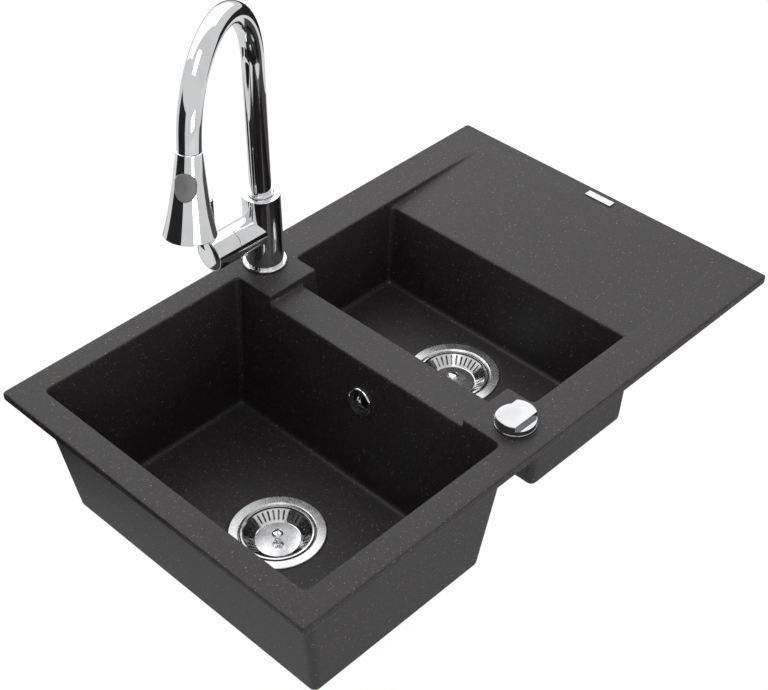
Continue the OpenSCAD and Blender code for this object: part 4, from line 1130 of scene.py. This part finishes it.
line = hose_line()
hose = walled(ribbed("ribbed_overflow_hose", line), line, HOSE_WALL)
hose_end, hose_z = HOSE_X - HOSE_BEND - HOSE_FLAT, HOSE_TOP - HOSE_DOWN - HOSE_BEND
cuffs = (at(HOSE_X, HOSE_Y, HOSE_TOP - CUFF_LAP), facing((-1, 0, 0), hose_end + CUFF_LAP, HOSE_Y, hose_z))
with_parts(hose, *[turned(band(CUFF_BORE, CREST_R, 0, CUFF_L), 0.5, 96, cuff) for cuff in cuffs])
settle(hose, hose_plastic, "sink", "overflow_hose", 50)

# %% Pull cable
CABLE_R, CABLE_START, CABLE_END = 3.0, Vector((KNOB_X, KNOB_Y, 0)), Vector((-182.5, 2, -257))
CABLE = [CABLE_START + Vector(p) for p in (
    (0, 0, -36), (0, 0, -45), (0, 0, -54), (0, 2, -65), (-1, 9, -78), (-3, 24, -92), (-7, 48, -112), (-12, 78, -145),
    (-21, 107, -189), (-41, 136, -231), (-76, 166, -251))]
CABLE += [CABLE_END + Vector(p) for p in ((44, -8, 1), (24, 0, 0), (11, 0, 0), (0, 0, 0))]


def through(points, steps=10):
    """Smooth line through every point."""
    made, last = [], len(points) - 1
    for i in range(last):
        a, b, c, d = (points[min(max(j, 0), last)] for j in range(i - 1, i + 3))
        for k in range(steps):
            t = k/steps
            made.append(0.5*(2*b + (c - a)*t + (2*a - 5*b + 4*c - d)*t*t + (3*b - a - 3*c + d)*t**3)*MM)
    return made + [points[last]*MM]


cable = tube("pull_cable_sheath", through(CABLE), black_plastic, CABLE_R, 24, True)
with editing(cable) as bm:
    bmesh.ops.remove_doubles(bm, verts=bm.verts, dist=WELD)
    bmesh.ops.recalc_face_normals(bm, faces=bm.faces)
settle(cable, black_plastic, "sink", "popup_cable", 60)

# %% [markdown]
# ## Under the sink: moulded bodies and fixings
# The waste bodies are moulded drums with a threaded outlet at the side. The threads are real
# helices that a recipe sweeps along a screw line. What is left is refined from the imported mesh:
# welded, freed of needless edges, and given a small round on every corner.

# %% Threads and waste bodies
def thread(material, place, turns, pitch, root, depth):
    """Bmesh of a ridge along a screw line, from its turns, pitch, root radius and depth."""
    recipe = Recipe("thread", turns=turns, pitch=pitch*MM, root=root*MM, depth=depth*MM, sides=72)
    spiral = recipe.node("GeometryNodeCurveSpiral", {
        "Resolution": recipe.given("sides"), "Rotations": recipe.given("turns"), "Start Radius": recipe.given("root"),
        "End Radius": recipe.given("root"), "Height": recipe.given("turns")*recipe.given("pitch")})
    ridge = recipe.node("GeometryNodeCurvePrimitiveCircle", {"Resolution": 4, "Radius": recipe.given("depth")})
    swept = recipe.node("GeometryNodeCurveToMesh", {"Curve": spiral, "Profile Curve": ridge, "Fill Caps": True})
    welded = recipe.node("GeometryNodeMergeByDistance", {"Geometry": swept, "Distance": 0.00001})
    return lifted(recipe.finish(welded, material).run(path("thread", [(0, 0, 0), (0, 0, MM)])), place)


def waste_body(side, place, lifter):
    """Drum with a threaded outlet, and with a port and a hole for the lifter where it has one."""
    outlet, port = facing((0, 1, 0), 0, 0, -41.5), facing((1, 0, 0), 0, -3, -45)
    drum = lathe(side + "_waste_drum", [
        (0, -72), (48, -72), (48, -14), (54, -14), (54, -11), (45, -11), (45, -68), (9, -68), (9, THROAT_Z),
        (5.02, THROAT_Z), (5.02, -66), (0, -66)], 0.8, 144)
    spout_profile = [(0, 36), (25.9, 36), (25.9, 64), (22.85, 64.4), (22.85, 85), (22, 86), (0, 86)]
    carve(drum, lathe("outlet", spout_profile, 0.3, 128, outlet), operation="UNION")
    if lifter:
        carve(drum, lathe("port", band(0, 9.9, 42, 64), 0.4, 96, port), operation="UNION")
    carve(drum, lathe("outlet_bore", band(0, 19.5, 30, 90), 0, 128, outlet))
    if lifter:
        carve(drum, lathe("port_bore", band(0, 7.9, 40, 70), 0, 96, port),
              lathe("pin_hole", band(0, 3.1, -80, -60), 0, 48))
    drum.data.transform(place)
    with_parts(drum, thread(white_plastic, place @ outlet @ at(0, 0, 66.5), 7.6, 2.3, 22.8, 1.1))
    settle(drum, white_plastic, "sink", side + "_waste_body", 32)


waste_body("main", MAIN, True)
waste_body("half", HALF, False)

# %% Shank, washers and refined pieces
shank = lathe("tap_shank_tube", [(12.5, -45), (15.2, -45), (15.9, -44.2), (15.9, 22), (12.5, 22)], 0.3, 128, TAP)
with_parts(shank, thread(brass, TAP @ at(0, 0, -43.5), 18.0, 1.5, 15.2, 0.8))
settle(shank, brass, "sink", "tap_shank", 32)
settle(lathe("tap_rubber_ring", band(16.2, 19.5, -2.4, 0.6), 0.5, 128, TAP), rubber, "sink", "tap_rubber_washer")
settle(lathe("tap_steel_ring", band(16.2, 19.5, -4.4, -2.4), 0.25, 128, TAP), steel, "sink", "tap_steel_washer")
# The rubber washer under each flange reaches past the flange's edge, and that black lip is painted shade for the gap
# round the flange.
WASHER_WITH_SHADE_LIP = [(45.1, -1.5), (58.5, -1.5), (58.5, -0.05), (57.15, -0.05), (57.15, -0.72), (45.1, -0.72)]


def refined(name, node, material, width=0.35, body="sink"):
    """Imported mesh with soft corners, for pieces that are seen only from below."""
    bm = welded_node(node)
    bmesh.ops.dissolve_limit(bm, angle_limit=radians(0.6), verts=bm.verts, edges=bm.edges)
    settle(bevel(loose(name, bm), width, 2, 40), material, body, node, 32)


refined("tap_back_nut", "tap_shank_nut", brass)
for name, node in (("popup_housing", "popup_knob_housing"), ("popup_back_nut", "popup_knob_nut"),
                   ("overflow_elbow_body", "overflow_elbow"), ("lifter_housing", "main_lifter_housing")):
    refined(name, node, black_plastic)
for side, place in (("main", MAIN), ("half", HALF)):
    # The washer's black lip past the flange is painted shade.
    settle(lathe(side + "_flange_washer_and_shade_lip", WASHER_WITH_SHADE_LIP, 0.12, 144, place), rubber, "sink", side + "_flange_gasket")
    refined(side + "_body_washer", side + "_body_gasket", rubber, 0.3)
    refined(side + "_long_screw", side + "_waste_screw", steel, 0.25)
refined("overflow_washer", "overflow_gasket", rubber, 0.3)
refined("lifter_rod", "main_lifter_pin", steel, 0.25, "main_basket")
refined("popup_spindle", "popup_knob_shaft", steel, 0.3, "popup_knob")
print("all pieces ready", round(time.time() - began, 1), "s")

# %% [markdown]
# ## Studio
# The photograph has a white ground, even light from all round and a broad light from above
# and behind, which lifts the flat top of the sink. The floor is plain and pale, lies under the
# lowest piece and is clear when seen from below. Dark boards that only mirrors see give the
# chrome its black bands.

# %% Floor and sky
FLOOR_Z = cad_box[0].z - 0.001
FLOOR_HALF = 6.0
WHITE = rgb(1.0, 1.0, 1.0)
FLOOR_GLOW, FLOOR_IN_MIRRORS, FLOOR_TO_CAMERA = 0.86, 0.74, 1.12
SKY_LIGHT, SKY_IN_MIRRORS, SKY_TO_CAMERA = 0.30, 0.68, 1.0


def rays(net):
    """Whether a ray comes from the camera, and whether from a mirror."""
    return [net.node("ShaderNodeLightPath", output=kind) for kind in ("Is Camera Ray", "Is Glossy Ray")]


def floor_finish():
    f = Finish("pale floor", base_color=rgb(0.9, 0.9, 0.9), roughness=0.9)
    camera_ray, mirror_ray = rays(f)
    strength = camera_ray.above(0, 1, FLOOR_IN_MIRRORS, FLOOR_TO_CAMERA)
    glow = f.node("ShaderNodeEmission", {"Color": WHITE, "Strength": strength})
    share = f.node("ShaderNodeMath", {0: camera_ray, 1: mirror_ray}, operation="MAXIMUM")*FLOOR_GLOW
    top = f.node("ShaderNodeMixShader", {0: share, 1: f.lit, 2: glow})
    below = f.node("ShaderNodeNewGeometry", output="Backfacing")
    return f.done(f.node("ShaderNodeMixShader", {0: below, 1: top, 2: f.node("ShaderNodeBsdfTransparent")}))


def plane(name, corners, material):
    mesh = bpy.data.meshes.new(name)
    mesh.from_pydata(corners, [], [tuple(range(len(corners)))])
    mesh.materials.append(material)
    piece = added(name, mesh)
    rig.stage(piece)
    return piece


edge = (-FLOOR_HALF, FLOOR_HALF)
plane("floor", [(x, y, FLOOR_Z) for x, y in band(*edge, *edge)], floor_finish())
world = bpy.data.worlds.new("studio")
world.use_nodes = True
scene.world = world
sky = Net(world.node_tree)
lit, mirrored, seen = (sky.node("ShaderNodeBackground", {"Color": WHITE, "Strength": strength})
                       for strength in (SKY_LIGHT, SKY_IN_MIRRORS, SKY_TO_CAMERA))
camera_ray, mirror_ray = rays(sky)
unseen = sky.node("ShaderNodeMixShader", {0: mirror_ray, 1: lit, 2: mirrored})
sky.end_with("ShaderNodeOutputWorld", sky.node("ShaderNodeMixShader", {0: camera_ray, 1: unseen, 2: seen}))
print("floor at", round(FLOOR_Z, 4))

# %% Boards and lights
dark = Finish("unseen dark board", base_color=rgb(0.004, 0.004, 0.004), roughness=0.8).done()


def board(name, one, two, low, high):
    """Upright board between two floor points that only mirrors see."""
    piece = plane(name, [(*one, low), (*two, low), (*two, high), (*one, high)], dark)
    piece.visible_camera = piece.visible_diffuse = piece.visible_shadow = False


def lamp(name, place, target, width, height, power):
    light = bpy.data.lights.new(name, "AREA")
    light.shape, light.energy = "RECTANGLE", power
    light.size, light.size_y = width, height
    piece = added(name, light)
    piece.location = place
    piece.rotation_mode = "QUATERNION"
    piece.rotation_quaternion = (Vector(target) - Vector(place)).to_track_quat("-Z", "Y")


board("dark_board_head", (-0.557, 0.017), (-0.434, 0.46), -0.02, 0.45)
board("dark_board_low_front", (-0.55, 0.03), (-0.34, 0.42), FLOOR_Z + 0.001, -0.02)
board("dark_board_low_back", (-0.305, 0.485), (-0.1825, 0.7125), -0.165, -0.02)
board("dark_board_back", (1.19, -0.2), (0.65, 1.3), FLOOR_Z + 0.001, 0.2)
lamp("back_light", (1.05, 1.9, 1.9), (0, 0, 0), 5.0, 3.2, 66)
lamp("top_light", (-0.6, -0.25, 2.2), (-0.3, -0.1, 0), 1.0, 1.0, 8)
lamp("front_light", (-0.6, -2.2, 0.35), (0, 0, -0.1), 1.1, 0.6, 9)
print("studio ready")

# %% Sizes and finish
with open("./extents.json", "w") as out:
    json.dump({"cad": [list(c) for c in cad_box], "visual": [list(c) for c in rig.bounds()]}, out)
print(open("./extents.json").read())
